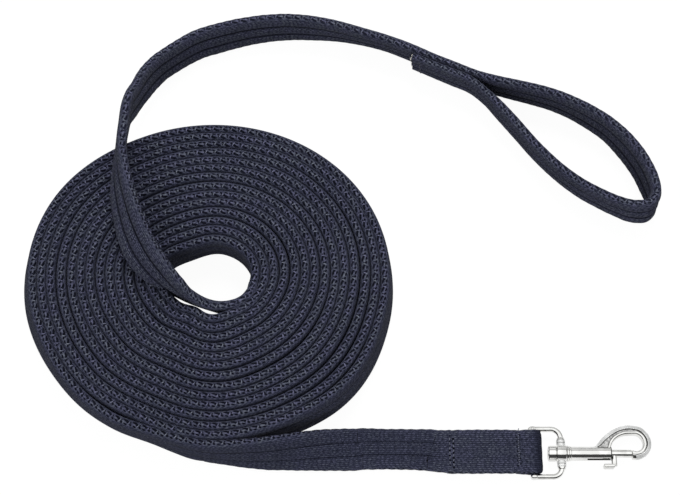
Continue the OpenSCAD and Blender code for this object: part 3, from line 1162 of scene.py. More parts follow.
@dataclass
class Webbing:
    """The one long strap, from the cut end under the fold to the cut end of the hand loop.

    Attributes:
        plain: The woven strap's material.
        loose: The same where the strap isn't pulled tight: less painted shade in shallower pits.
        sewn: The same with the needle holes of the sewn fold.
        pitch: Distance from one cross-section to the next.
        coil_pitch: The same in the coil.
        coil_t: Thickness in the coil, where the turns press on one another.
        bend_t: Thickness where a layer of the fold starts to wrap around the bar.
        fold_y: How far the fold's middle lies beside the bar's.
        done_mm: Length of the strap made so far.
    """

    plain: bpy.types.Material
    loose: bpy.types.Material
    sewn: bpy.types.Material
    pitch: float = 0.9
    coil_pitch: float = 2.1
    coil_t: float = S.strap_t * 0.985
    bend_t: float = 4.4
    fold_y: float = 0.6
    done_mm: float = 0.0

    def fold_rows(self) -> Vec:
        """The lower layer of the fold, the turn around the bar, and the upper layer.

        Returns:
            Rows of x, y, z of the middle, lean and thickness.
        """
        layer = S.sewn_t
        low, top = S.hook_z - layer / 2, S.hook_z + layer / 2
        r = S.wire_d / 2 + S.wrap_t / 2
        layer_x = (152, 160, 168, 176, 184)
        pts = [(S.fold_x - 6, low, layer), (S.fold_x + 0.3, low, layer)]
        pts += [(x, low, layer) for x in layer_x]
        pts.append((S.bar_x - 5, low - 0.2, self.bend_t))
        for i in range(9):
            a = math.radians(-90 + i * 22.5)
            pts.append((S.bar_x + r * math.cos(a), S.hook_z + r * math.sin(a), S.wrap_t))
        pts.append((S.bar_x - 5, top + 0.2, self.bend_t))
        pts += [(x, top, layer) for x in reversed(layer_x)]
        pts.append((S.fold_x + 2, top, layer))
        return np.array([(x, S.bar_y + self.fold_y, z, FLAT, t) for x, z, t in pts])

    def run_track(self) -> Track:
        """From the cut end under the fold, around the bar, back on top, and on to the coil.

        Returns:
            The track, wider and smoother where it is sewn, and pinched under the stitches.
        """
        top, y = S.hook_z + S.sewn_t / 2, S.bar_y + self.fold_y
        fold = catmull(self.fold_rows(), 10)
        run = lifted(list(RUN), [S.strap_t] * len(RUN))
        end = np.array(
            [[*Spiral.point(w), S.strap_w / 2, Spiral.lean(w), S.strap_t] for w in (0, 8)]
        )
        sewn = [(152, y, top, FLAT, S.sewn_t), (S.fold_x + 3, y, top - 0.1, FLAT, 5.2)]
        run = catmull(np.vstack([sewn, run[1:], end]), 12)
        rows = even(np.vstack([fold[:-1], run[1:]]), self.pitch)
        across = lean_across(travel(rows[:, :3]), rows[:, 3])
        across[np.abs(rows[:, 3] - FLAT) < 0.5] = (0.0, 1.0, 0.0)
        x = rows[:, 0]
        on_top = rows[:, 2] > S.hook_z
        seams = (S.fold_x + 3.1, S.bar_x - 9.2)
        pinch = sum(np.exp(-(((x - seam) / 1.6) ** 2)) for seam in seams) * on_top
        sewn_share = np.array([smooth(S.fold_x - 10, S.fold_x + 5, v) for v in x]) * on_top
        waist = np.array([smooth(60, 100, v) * (1 - smooth(120, 140, v)) for v in x])
        width = S.strap_w - 0.5 * waist + 1.2 * sewn_share - 0.5 * pinch
        rows[:, 1] += 0.1 * sewn_share + 0.5 * (1 - on_top) * (x < S.bar_x - 8)
        thick = rows[:, 4] * (1 - 0.07 * pinch)
        return Track(rows[:, :3], across, thick, width, 1 - 0.7 * sewn_share)

    def coil_track(self) -> Track:
        """All turns of the coil, on edge, with the small unevenness of a hand-wound coil.

        Returns:
            The track.
        """
        end = Spiral.end()
        rows = []
        for w in np.arange(0, end + 0.01, 1.0):
            x, y = Spiral.point(w)
            turn, a = w / 360, math.radians(w)
            rise = smooth(0, 70, w) * smooth(end, end - 70, w)
            z = S.strap_w / 2 + rise * 0.35 * math.sin(2.1 * turn + 0.8 * math.sin(a))
            sway = 3.0 + 1.6 * math.sin(1.7 * turn + 1.0) + 1.2 * math.sin(a * 2 + turn)
            rows.append((x, y, z, rise * sway + Spiral.lean(w), self.coil_t))
        return leaning_track(np.array(rows), self.coil_pitch)

    def tail_track(self) -> Track:
        """Out of the hole, over the coil and round to the hand loop's joint.

        Returns:
            The track, with grooves twice as deep as on the tight strap.
        """
        thick = [S.strap_t] * (len(TAIL) - 3) + [S.sewn_t] * 3
        rows = lifted(list(TAIL), thick)
        end = Spiral.end()
        head = np.array(
            [[*Spiral.point(w), S.strap_w / 2, 0.0, S.strap_t] for w in (end - 12, end)]
        )
        after = lifted([LOOP[1]], [S.sewn_t])
        return leaning_track(catmull(np.vstack([head, rows, after]), 12), self.pitch, 2.0)

    def loop_track(self) -> Track:
        """The hand loop, out and back along the strap to its cut end.

        Returns:
            The track, with the deepest grooves.
        """
        thick = [S.sewn_t] + [S.strap_t] * (len(LOOP) - 6) + [S.sewn_t] * 5
        rows = lifted(list(LOOP), thick)
        before = lifted([TAIL[-2]], [S.sewn_t])
        after = 2 * rows[-1:] - rows[-2:-1]
        return leaning_track(catmull(np.vstack([before, rows, after]), 12), self.pitch, 2.3)

    def build(self) -> None:
        """Makes every piece of the strap in the order of travel."""
        for name, track, section, material, nodes in (
            ("run_webbing", self.run_track(), FINE, self.sewn, ("hook_fold", "lead_run")),
            ("coil_webbing", self.coil_track(), LEAN, self.plain, ("webbing_coil",)),
            ("tail_webbing", self.tail_track(), FINE, self.loose, ("webbing_tail",)),
            ("loop_webbing", self.loop_track(), FINE, self.loose, ("hand_loop",)),
        ):
            obj = strap_mesh(name, track, section, self.done_mm, section is FINE)
            dress(obj, material, Body.LINE, Slot.WEBBING, *nodes)
            self.done_mm += track.length
            LOG.info("%s: %.0f mm of strap", obj.name, track.length)


@dataclass
class Sewing:
    """The thread that shows on top of the sewn fold.

    Attributes:
        thread_d: The thread's diameter.
        top: Height of the needle holes.
        arch: How far a stitch stands out.
        steps: Steps along a stitch.
        sides: Sides of the thread.
    """

    thread_d: float = 0.5
    top: float = 9.75
    arch: float = 0.36
    steps: int = 6
    sides: int = 8

    def stitches(self, name: str, runs: list[tuple[Vec, Vec]]) -> bpy.types.Object:
        """Short arched threads, each from one needle hole towards the next.

        Args:
            name: The piece's name.
            runs: The two ends of every stitch.

        Returns:
            All of them as one piece.
        """
        verts: list[Vec] = []
        faces: list[Face] = []
        for start, stop in runs:
            way = (stop - start) / np.linalg.norm(stop - start)
            side = np.cross(way, (0.0, 0.0, 1.0))
            side /= np.linalg.norm(side)
            up = np.cross(side, way)
            faces += closed_tube(self.steps + 1, self.sides, len(verts))
            for i in range(self.steps + 1):
                f = i / self.steps
                rise = math.sin(math.pi * f)
                middle = start + (stop - start) * f + up * (self.arch * rise - 0.1)
                r = self.thread_d / 2 * (0.45 + 0.55 * rise)
                verts += hoop(middle, r, side, up, self.sides)
        return new_mesh(name, np.array(verts), faces)

    def rear_runs(self) -> list[tuple[Vec, Vec]]:
        """The two rear rows, whose stitches slant to and fro.

        Returns:
            The two ends of every stitch.
        """
        runs = []
        for row in REAR_ROWS:
            for i in range(row.count - 1):
                y = row.first_y + (i + 0.5) * STITCH
                slant = 0.25 if i % 2 else -0.1
                near = np.array([row.x - slant, y - 0.85, self.top])
                runs.append((near, np.array([row.x + slant, y + 0.85, self.top])))
        return runs

    def front_runs(self) -> list[tuple[Vec, Vec]]:
        """The zigzag near the bar, and its loose end at the strap's edge.

        Returns:
            The two ends of every stitch.
        """
        left, right = FRONT_ROWS
        runs = []
        for i in range(left.count):
            a = np.array([left.x, left.first_y + i * STITCH, self.top])
            b = np.array([right.x, right.first_y + i * STITCH, self.top])
            c = np.array([left.x, left.first_y + (i + 1) * STITCH, self.top])
            runs.append((a + (b - a) * 0.15, a + (b - a) * 0.85))
            runs.append((b + (c - b) * 0.2, b + (c - b) * 0.8))
        edge = np.array([S.bar_x - 9.3, S.bar_y + 12.6, 8.2])
        return [*runs, (edge, edge + np.array([0.7, 2.0, 0.6]))]

    def build(self, thread: bpy.types.Material) -> None:
        """Makes the rear rows and the front zigzag.

        Args:
            thread: The thread's material.
        """
        for name, runs, node in (
            ("fold_thread_rear", self.rear_runs(), "fold_stitch_rear"),
            ("fold_thread_front", self.front_runs(), "fold_stitch_front"),
        ):
            dress(self.stitches(name, runs), thread, Body.LINE, Slot.THREAD, node)


@dataclass
class CoreEnd:
    """The white core yarns that fray out of the hand loop's cut end.

    Attributes:
        count: How many yarns.
        seed: Start of the random draws.
        yarn_d: A yarn's diameter at its root.
        tip_d: Its diameter at its tip.
        low: Lowest root, below the strap's middle line.
        high: Highest root, above it.
        deep: How far the roots lie to either side of it.
        longest: Length of the longest.
        rooted: How deep the yarns start inside the strap.
        stray: How far the tips stray sideways.
        sides: Sides of a yarn.
    """

    count: int = 54
    seed: int = 7
    yarn_d: float = 0.55
    tip_d: float = 0.22
    low: float = 8.0
    high: float = 10.5
    deep: float = 1.6
    longest: float = 1.7
    rooted: float = 0.4
    stray: float = 0.35
    sides: int = 6

    def build(self, track: Track, core: bpy.types.Material) -> None:
        """Makes a tuft of short tapered yarns on the strap's last cross-section.

        Args:
            track: The hand loop's path, whose end is the cut end.
            core: The yarn's material.
        """
        spread = np.random.default_rng(self.seed)
        end, along, up, out = track.centre[-1], track.along[-1], track.across[-1], track.normal[-1]
        verts: list[Vec] = []
        faces: list[Face] = []
        for _ in range(self.count):
            height = spread.uniform(-self.low, self.high)
            depth = spread.uniform(-self.deep, self.deep)
            length = spread.uniform(0.5, 1.0) * self.longest + self.rooted
            root = end + up * height + out * depth - along * self.rooted
            tip = root + along * length
            tip = tip + up * spread.normal(0, self.stray) + out * spread.normal(0, self.stray)
            faces += closed_tube(2, self.sides, len(verts))
            verts += hoop(root, self.yarn_d / 2, up, out, self.sides)
            verts += hoop(tip, self.tip_d / 2, up, out, self.sides)
        obj = new_mesh("core_fray", np.array(verts), faces)
        dress(obj, core, Body.LINE, Slot.CORE, "loop_end_core")


# --------------------------------------------------------------------------------------------------
# The bolt snap
# --------------------------------------------------------------------------------------------------


def deselect() -> None:
    """Leaves edit mode and deselects everything."""
    if bpy.context.mode != "OBJECT":
        bpy.ops.object.mode_set(mode="OBJECT")
    bpy.ops.object.select_all(action="DESELECT")


def activate(obj: bpy.types.Object) -> None:
    """Selects this piece alone and makes it the active one."""
    deselect()
    obj.select_set(True)
    bpy.context.view_layer.objects.active = obj


def face_outwards(obj: bpy.types.Object) -> None:
    """Drops loose vertices and turns every face outwards.

    Args:
        obj: The piece, which stays selected and active.
    """
    activate(obj)
    bpy.ops.object.mode_set(mode="EDIT")
    bpy.ops.mesh.select_all(action="SELECT")
    bpy.ops.mesh.delete_loose()
    bpy.ops.mesh.select_all(action="SELECT")
    bpy.ops.mesh.normals_make_consistent(inside=False)
    bpy.ops.object.mode_set(mode="OBJECT")


def shape(obj: bpy.types.Object, kind: str, **settings: object) -> None:
    """Applies a modifier to the active piece.

    Args:
        obj: The piece.
        kind: The modifier's type.
        **settings: Its properties.
    """
    modifier = obj.modifiers.new(kind.lower(), kind)
    for key, value in settings.items():
        setattr(modifier, key, value)
    bpy.ops.object.modifier_apply(modifier=modifier.name)


def settle(name: str, angle: float = 40.0) -> bpy.types.Object:
    """Names the active new piece, puts its place into its mesh and smooths it.

    Args:
        name: The piece's name.
        angle: Edges sharper than this many degrees stay sharp.

    Returns:
        The piece.
    """
    obj = bpy.context.view_layer.objects.active
    obj.name = name
    obj.data.name = name
    bpy.ops.object.transform_apply(location=True, rotation=True, scale=True)
    bpy.ops.object.shade_smooth_by_angle(angle=math.radians(angle))
    return obj


def turned(
    name: str, axis: Axis, start: float, length: float, dia: float, rim: float,
    at: tuple[float, float] = (S.bar_y, S.hook_z), taper: float = 0.0,
) -> bpy.types.Object:
    """A turned pin, ring or cone, whose two rims are rounded.

    Args:
        name: The piece's name.
        axis: The axis that it lies along.
        start: Where it starts on that axis, in millimetres.
        length: Its length in millimetres.
        dia: Its diameter in millimetres.
        rim: Radius of the rounded rims in millimetres.
        at: The two other places, y and z or x and z; those of the snap's own axis if left out.
        taper: Diameter at the far end, negative if the near end is the tapered one; none if nought.

    Returns:
        The piece.
    """
    deselect()
    mid = start + length / 2
    along_x = axis is Axis.X
    place = (mid, at[0], at[1]) if along_x else (at[0], mid, at[1])
    turn = (0.0, math.pi / 2, 0.0) if along_x else (math.pi / 2, 0.0, 0.0)
    first, last = dia, abs(taper) or dia
    if (taper < 0) == along_x:
        first, last = last, first
    bpy.ops.mesh.primitive_cone_add(
        vertices=72, radius1=first / 2 * MM, radius2=last / 2 * MM, depth=length * MM,
        location=[v * MM for v in place], rotation=turn,
    )
    obj = bpy.context.view_layer.objects.active
    bpy.ops.object.mode_set(mode="EDIT")
    bpy.ops.mesh.select_all(action="DESELECT")
    bpy.ops.object.mode_set(mode="OBJECT")
    for edge in obj.data.edges:
        a, b = (obj.data.vertices[v].co.z for v in edge.vertices)
        edge.select = abs(a - b) < 1e-7
    bpy.ops.object.mode_set(mode="EDIT")
    bpy.ops.mesh.select_mode(type="EDGE")
    bpy.ops.mesh.bevel(offset=rim * MM, segments=5, profile=0.5)
    bpy.ops.object.mode_set(mode="OBJECT")
    return settle(name)


def join(name: str, *parts: bpy.types.Object) -> bpy.types.Object:
    """Joins pieces into one.

    Args:
        name: Name of the joined piece.
        *parts: The pieces.

    Returns:
        The joined piece.
    """
    deselect()
    for part in parts:
        part.select_set(True)
    bpy.context.view_layer.objects.active = parts[0]
    bpy.ops.object.join()
    parts[0].name = name
    return parts[0]


def coated(obj: bpy.types.Object, metal: bpy.types.Material) -> bpy.types.Object:
    """Gives a part of a piece a finish of its own, and hands it back."""
    obj.data.materials.append(metal)
    return obj


def bent_wire(
    name: str, path: list[tuple[float, float, float]], dia: float, smoothness: int
) -> bpy.types.Object:
    """A round wire along a path.

    Args:
        name: The piece's name.
        path: Points of its middle line, in millimetres.
        dia: Its diameter in millimetres.
        smoothness: Steps around a quarter of the wire, less one.

    Returns:
        The piece.
    """
    curve = bpy.data.curves.new(name, "CURVE")
    curve.dimensions = "3D"
    curve.bevel_depth = dia / 2 * MM
    curve.bevel_resolution = smoothness
    curve.use_fill_caps = True
    line = curve.splines.new("POLY")
    line.points.add(len(path) - 1)
    for point, place in zip(line.points, path, strict=True):
        point.co = (*(v * MM for v in place), 1.0)
    obj = bpy.data.objects.new(name, curve)
    bpy.context.scene.collection.objects.link(obj)
    activate(obj)
    bpy.ops.object.convert(target="MESH")
    return settle(name, 50)


Metals = dict[Metal, bpy.types.Material]

# Outlines of the cast hook, as places past the barrel's mouth and beside the snap's axis.
HOOK_OUTER = [
    (-11.6, 2.6), (-8.6, 4.9), (-5.4, 8.7), (-1.6, 12.1), (2.8, 14.9), (7.4, 16.5), (11.6, 16.9),
    (17.8, 15.9), (21.2, 13.2), (23.5, 9.6), (24.1, 5.3), (22.8, 1.2), (19.9, -1.9), (15.9, -3.5),
    (12.2, -3.3),
]
HOOK_INNER = [
    (-0.4, 2.6), (0.4, 4.6), (1.3, 6.5), (2.8, 8.2), (5.2, 9.8), (8.6, 11.0), (12.9, 11.2),
    (15.6, 11.0), (17.6, 9.7), (18.8, 7.8), (19.1, 5.5), (18.4, 3.3), (16.8, 1.7), (14.7, 1.1),
    (12.2, 1.8),
]

HUB_X = 207.6
HUB_LEN = 6.2
HUB_MID = HUB_X + HUB_LEN / 2

# The hub's collars: distance from the axis, length, diameter at both ends, and finish.
# The thin rings between the collars are in painted shade.
HUB_STEPS = (
    (3.6, 2.6, 5.6, 5.2, Metal.SATIN),
    (6.0, 0.6, 4.6, 4.6, Metal.BORE),
    (6.4, 1.6, 5.3, 5.1, Metal.SATIN),
    (7.8, 0.5, 4.5, 4.5, Metal.BORE),
    (8.1, 1.5, 5.1, 4.2, Metal.PLATE),
)


@dataclass
class SwivelEye:
    """The wire eye that turns in the fold, and its hub, in millimetres.

    Attributes:
        leg: Distance of a leg's middle line from the snap's axis.
        bar_r: Radius of the bend from the bar to a leg.
        leg_r: Radius of the bend from a leg to the hub.
        wire_d: The wire's diameter.
        wire_y: How far the wire lies off the middle of the hub.
        knob_y: Where the two knobs start, beside the axis.
    """

    leg: float = 14.4
    bar_r: float = 1.8
    leg_r: float = 5.6
    wire_d: float = 3.3
    wire_y: float = 0.4
    knob_y: tuple[float, float] = (13.2, -15.6)

    def bend(
        self, centre_x: float, r: float, start: float, steps: int
    ) -> list[tuple[float, float]]:
        """A quarter bend that ends on a leg or starts from one.

        Args:
            centre_x: Place of its centre along the snap.
            r: Its radius.
            start: Angle of its first point, in degrees.
            steps: Steps along it.

        Returns:
            Places along the snap and beside its axis.
        """
        angles = [math.radians(start - 90 * i / steps) for i in range(steps + 1)]
        return [(centre_x + r * math.cos(a), self.leg - r + r * math.sin(a)) for a in angles]

    def wire(self) -> bpy.types.Object:
        """The wire: a bar under the strap and two legs that bend in to the hub.

        Returns:
            The wire with a small knob at each end of its bar.
        """
        arm = [(S.bar_x, 0.0), (S.bar_x, self.leg - self.bar_r)]
        arm += self.bend(S.bar_x + self.bar_r, self.bar_r, 180, 8)
        arm += self.bend(HUB_MID - self.leg_r, self.leg_r, 90, 16)
        arm += [(HUB_MID, 6.0), (HUB_MID, 3.5)]
        whole = [(x, -y) for x, y in arm[:0:-1]] + arm
        path = [(x, y + S.bar_y + self.wire_y, S.hook_z) for x, y in whole]
        wire = bent_wire("eye_wire_bent", path, self.wire_d, smoothness=10)
        place = (S.bar_x - 0.2, S.hook_z)
        knobs = [
            turned("eye_knob", Axis.Y, S.bar_y + y, length=3.2, dia=4.6, rim=1.3, at=place)
            for y in self.knob_y
        ]
        return join("eye_wire_bent", wire, *knobs)

    def hub(self, metals: Metals) -> bpy.types.Object:
        """The eye's round hub with a stepped collar on each side for the wire's ends.

        Args:
            metals: The metal finishes.

        Returns:
            The hub.
        """
        ball = turned("hub_ball", Axis.X, HUB_X, HUB_LEN, dia=10.4, rim=1.1)
        parts = [coated(ball, metals[Metal.PLATE])]
        place = (HUB_MID, S.hook_z)
        for side in (1, -1):
            for out, length, dia, end, metal in HUB_STEPS:
                start = S.bar_y + (out if side > 0 else -out - length)
                ring = turned(
                    "hub_ring", Axis.Y, start, length, dia, rim=0.2, at=place, taper=side * end
                )
                parts.append(coated(ring, metals[metal]))
        return join("hub", *parts)

    def build(self, metals: Metals) -> None:
        """Makes, dresses and mounts the eye.

        Args:
            metals: The metal finishes.
        """
        dress(self.wire(), metals[Metal.PLATE], Body.EYE, Slot.METAL, "eye_wire")
        dress(self.hub(metals), None, Body.EYE, Slot.METAL, "eye_hub")


@dataclass
class BoltSnap:
    """The swivel's rivet, the cast snap and its bolt, along the X axis, in millimetres.

    Attributes:
        head_x: Where the rivet's head starts.
        washer_x: Where the washer starts.
        barrel_x: Where the barrel starts.
        bore_x: Where the bore starts.
        slot_x: Where the slot starts.
        bolt_x: Where the bolt starts.
        mouth_x: Where the barrel ends.
        travel: How far the bolt slides; not used.
        barrel_d: The barrel's diameter.
        bore_d: The bore's diameter.
        slot_w: The slot's width.
        wall_steps: Steps around the barrel's wall, from one side of the slot to the other.
        hook_t: The hook's thickness.
        rim: Width of the hook's outer rim.
        inner_rim: Width of its inner rim.
        full_w: Width of the hook below which its rims narrow.
        sunk: Height of the web between the rims, above the hook's middle.
        neck_d: Diameter of the stud's neck.
        pad: The stud's pad: length, thickness and width.
        pad_out: Distance of the pad's middle from the snap's axis.
        coil_turns: Turns of the spring.
        coil_r: The spring's radius.
        coil_d: Diameter of its wire.
    """

    head_x: float = 202.95
    washer_x: float = 213.85
    barrel_x: float = 216.45
    bore_x: float = 221.0
    slot_x: float = 225.95
    bolt_x: float = 234.95
    mouth_x: float = 240.15
    travel: float = 11.0
    barrel_d: float = 8.2
    bore_d: float = 4.74
    slot_w: float = 4.0
    wall_steps: int = 60
    hook_t: float = 5.6
    rim: float = 2.2
    inner_rim: float = 1.8
    full_w: float = 4.8
    sunk: float = 1.6
    neck_d: float = 3.4
    pad: tuple[float, float, float] = (8.2, 2.3, 5.4)
    pad_out: float = 7.8
    coil_turns: int = 5
    coil_r: float = 1.8
    coil_d: float = 0.5

    def rivet(self) -> bpy.types.Object:
        """The rivet: a rounded head, its shank through the hub, and a small peened centre.

        Returns:
            The rivet.
        """
        x = self.head_x
        head = turned("rivet_head", Axis.X, x, length=4.6, dia=9.3, rim=0.7)
        shank = turned("rivet_shank", Axis.X, x + 1, length=17.0, dia=4.5, rim=0.3)
        dome = turned("rivet_centre", Axis.X, x - 0.25, length=1.0, dia=4.2, rim=0.24)
        return join("rivet", head, shank, dome)

    def washer(self) -> bpy.types.Object:
        """The washer between hub and barrel: two thin rounded rings.

        Returns:
            The washer.
        """
        x = self.washer_x
        front = turned("washer_ring", Axis.X, x, length=1.2, dia=9.4, rim=0.4)
        back = turned("washer_ring", Axis.X, x + 1.25, length=1.35, dia=8.9, rim=0.45)
        return join("washer", front, back)

    def barrel(self, metals: Metals) -> bpy.types.Object:
        """The barrel: a tube with a slot along its near side and a closed back.

        Args:
            metals: The metal finishes.

        Returns:
            The barrel.
        """
        r = self.barrel_d / 2
        half = math.degrees(math.asin(self.slot_w / 2 / r))
        wall, gap = self.wall_steps, 8
        angles = [180 + half + (360 - 2 * half) * i / wall for i in range(wall + 1)]
        angles += [180 - half + 2 * half * i / gap for i in range(1, gap)]
        stops = (
            self.barrel_x, self.barrel_x + 0.6, self.bore_x, self.slot_x, 230, 235,
            self.mouth_x - 0.6, self.mouth_x,
        )
        verts = [
            (x, S.bar_y + r * math.cos(math.radians(a)), S.hook_z - r * math.sin(math.radians(a)))
            for x in stops for a in angles
        ]
        n = len(angles)
        faces = [
            face for i, face in enumerate(skin(len(stops), n))
            if stops[i // n] < self.slot_x or i % n < wall
        ]
        obj = new_mesh("snap_barrel", np.array(verts), faces)
        face_outwards(obj)
        # Painted shade on the bore's inside, the slot's walls, the ends and the mouth's last ring.
        for metal in (Metal.PLATE, Metal.BORE):
            obj.data.materials.append(metals[metal])
        for f in obj.data.polygons:
            f.material_index = int(f.center.x > (self.mouth_x - 0.55) * MM)
        shape(
            obj, "SOLIDIFY", thickness=(self.barrel_d - self.bore_d) / 2 * MM, offset=-1,
            material_offset=1, material_offset_rim=1,
        )
        self.square_slot(obj, half)
        shape(
            obj, "BEVEL", width=0.28 * MM, segments=3, limit_method="ANGLE",
            angle_limit=math.radians(50),
        )
        settle("snap_barrel")
        back = turned("barrel_back", Axis.X, self.barrel_x + 0.3, length=4.2, dia=7.4, rim=0.3)
        return join("snap_barrel", obj, coated(back, metals[Metal.PLATE]))

    def square_slot(self, obj: bpy.types.Object, half: float) -> None:
        """Opens the slot at the bore until its two walls are parallel.

        Args:
            obj: The barrel, with its wall.
            half: Half of the slot's opening at the outside, in degrees.
        """
        wide = math.degrees(math.asin(self.slot_w / self.bore_d))
        mid_wall = (self.barrel_d + self.bore_d) / 4
        for v in obj.data.vertices:
            y, z = v.co.y / MM - S.bar_y, v.co.z / MM - S.hook_z
            reach = math.hypot(y, z)
            if reach > mid_wall or v.co.x < (self.slot_x - 0.1) * MM:
                continue
            turn = math.degrees(math.atan2(z, -y))
            opened = np.interp(abs(turn), [0, half, 180], [0, wide, 180])
            a = math.radians(math.copysign(opened, turn))
            v.co.y = (S.bar_y - reach * math.cos(a)) * MM
            v.co.z = (S.hook_z + reach * math.sin(a)) * MM

    def section(self, width: float, sink: float, shade: float) -> list[tuple[float, float]]:
        """Points across the hook, from the outer edge to the inner, for its upper half.

        Args:
            width: Distance between the two edges.
            sink: One where the web is recessed, nought where it is level.
            shade: Width of the slope down to the web, which is in painted shade.

        Returns:
            Distance from the outer edge, and height above the middle.
        """
        top = self.hook_t / 2
        deep = top - (top - self.sunk) * sink
        share = min(1, width / self.full_w)
        rim, inner = self.rim * share, width - self.inner_rim * share
        foot = min(rim + shade, inner - 0.3)
        web = [(mix(foot, inner - 0.2, f), deep) for f in (0, 0.25, 0.5, 0.75, 1)]
        return [
            (0, 0), (0, 0.9), (0.1, 1.4), (0.35, 1.68), (0.8, 1.95), (1.4, 2.26),
            (rim - 0.3, top - 0.12), (rim, top - 0.1), (rim + 0.08, top - 0.25),
            *web,
            (inner - 0.06, (top + deep) / 2), (inner, top - 0.12), (inner + 0.25, top - 0.02),
            (width - 0.8, top - 0.05), (width - 0.35, 2.4), (width - 0.08, 1.9), (width, 1.2),
            (width, 0),
        ]

    def hook(self, metals: Metals) -> bpy.types.Object:
        """The cast hook: a satin bevelled rim, a bright inner rim and a sunk web between them.

        Args:
            metals: The metal finishes.

        Returns:
            The hook.
        """
        outer = catmull(np.array([(-12.0, 1.0), *HOOK_OUTER, (9.0, -3.0)]), 6)
        inner = catmull(np.array([(-1.0, 1.0), *HOOK_INNER, (9.0, 2.2)]), 6)
        count = len(outer)
        rings = []
        for i, (o, e) in enumerate(zip(outer, inner, strict=True)):
            f = i / (count - 1)
            width = float(np.linalg.norm(e - o))
            way = (e - o) / width
            # Width of the painted shade on the slope to the web, wider over part of the outline.
            shade = 0.4 + 0.9 * smooth(0.42, 0.58, f) * smooth(0.78, 0.66, f)
            half = self.section(width, 1 - smooth(0.74, 0.86, f), shade)
            whole = half + [(d, -h) for d, h in half[-2:0:-1]]
            ring = [(*(o + way * d), h) for d, h in whole]
            rings.append([(x + self.mouth_x, y + S.bar_y, z + S.hook_z) for x, y, z in ring])
        m = len(rings[0])
        ends = [tuple(range(m)), tuple(range(count * m - 1, (count - 1) * m - 1, -1))]
        obj = new_mesh("snap_hook", np.array(rings).reshape(-1, 3), skin(count, m) + ends)
        order = list(Metal)
        for metal in order:
            obj.data.materials.append(metals[metal])
        # Painted shade on the slope from the rim down to the web.
        strips = [Metal.SATIN] * 8 + [Metal.BORE] + [Metal.CAST] * 4
        for f in obj.data.polygons[: (count - 1) * m]:
            j = min(f.index % m, m - 1 - f.index % m)
            plain = f.index // m > 0.93 * count or j >= len(strips)
            f.material_index = order.index(Metal.PLATE if plain else strips[j])
        face_outwards(obj)
        shape(obj, "SUBSURF", levels=1, render_levels=1)
        return settle("snap_hook", 60)

    def stud(self) -> bpy.types.Object:
        """The thumb stud: a round neck and a flat flared pad.

        Returns:
            The stud.
        """
        neck_x = self.mouth_x + 1.6
        neck = turned(
            "stud_neck", Axis.Y, S.bar_y - 7.6, length=6.8, dia=self.neck_d, rim=0.2,
            at=(neck_x, S.hook_z),
        )
        deselect()
        mid_x, mid_y = neck_x - 2.5, S.bar_y - self.pad_out
        place = (mid_x * MM, mid_y * MM, S.hook_z * MM)
        bpy.ops.mesh.primitive_cube_add(size=1.0, location=place)
        pad = bpy.context.view_layer.objects.active
        pad.scale = [v * MM for v in self.pad]
        bpy.ops.object.transform_apply(location=True, rotation=False, scale=True)
        for v in pad.data.vertices:
            if v.co.y < mid_y * MM:
                v.co.x += (0.5 if v.co.x < mid_x * MM else -2.2) * MM
        shape(pad, "BEVEL", width=0.75 * MM, segments=5)
        settle("stud_pad", 50)
        return join("thumb_stud_cast", pad, neck)

    def bolt(self, metals: Metals) -> bpy.types.Object:
        """The sliding bolt: bright where it shows, in painted shade inside the barrel.

        Args:
            metals: The metal finishes.

        Returns:
            The bolt.
        """
        shown = turned("bolt_nose", Axis.X, self.mouth_x - 0.4, length=12.5, dia=4.6, rim=0.45)
        inside = turned("bolt_shank", Axis.X, self.bolt_x, length=5.4, dia=4.5, rim=0.3)
        return join(
            "bolt", coated(shown, metals[Metal.PLATE]), coated(inside, metals[Metal.BORE])
        )

    def spring(self, steel: bpy.types.Material) -> None:
        """Makes the spring behind the bolt, at its length when the bolt is shut.

        Args:
            steel: The spring's material.
        """
        first, last = self.bore_x + 0.3, self.bolt_x - 0.3
        steps, r = 24, self.coil_r
        path = []
        for i in range(self.coil_turns * steps + 1):
            a = 2 * math.pi * i / steps
            x = mix(first, last, i / (self.coil_turns * steps))
            path.append((x, S.bar_y + r * math.cos(a), S.hook_z + r * math.sin(a)))
        obj = bent_wire("spring", path, self.coil_d, smoothness=2)
        dress(obj, steel, Body.SNAP, Slot.SPRING, "bolt_spring")
        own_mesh(obj)

    def build(self, metals: Metals, steel: bpy.types.Material) -> None:
        """Makes, dresses and mounts every piece.

        Args:
            metals: The metal finishes.
            steel: The spring's material.
        """
        plate = metals[Metal.PLATE]
        dress(self.rivet(), plate, Body.SNAP, Slot.METAL, "swivel_rivet")
        dress(self.washer(), plate, Body.SNAP, Slot.METAL, "swivel_washer")
        casting = join("snap_casting", self.hook(metals), self.barrel(metals))
        dress(casting, None, Body.SNAP, Slot.METAL, "snap_body")
        dress(self.stud(), plate, Body.BOLT, Slot.METAL, "thumb_stud")
        dress(self.bolt(metals), None, Body.BOLT, Slot.METAL, "snap_bolt")
        self.spring(steel)


# --------------------------------------------------------------------------------------------------
# Studio
# --------------------------------------------------------------------------------------------------


Place = tuple[float, float, float]


@dataclass(frozen=True)
class Lamp:
    """A round soft lamp, in metres and watts."""

    name: str
    place: Place
    aim: Place
    size: float
    power: float

    def build(self) -> None:
        """Makes the lamp, which polished metal doesn't mirror."""
        data = bpy.data.lights.new(self.name, "AREA")
        data.shape = "DISK"
        data.size = self.size
        data.energy = self.power
        obj = bpy.data.objects.new(self.name, data)
        obj.location = self.place
        way = Vector(self.aim) - Vector(self.place)
        obj.rotation_euler = way.to_track_quat("-Z", "Y").to_euler()
        obj.visible_glossy = False
        bpy.context.scene.collection.objects.link(obj)


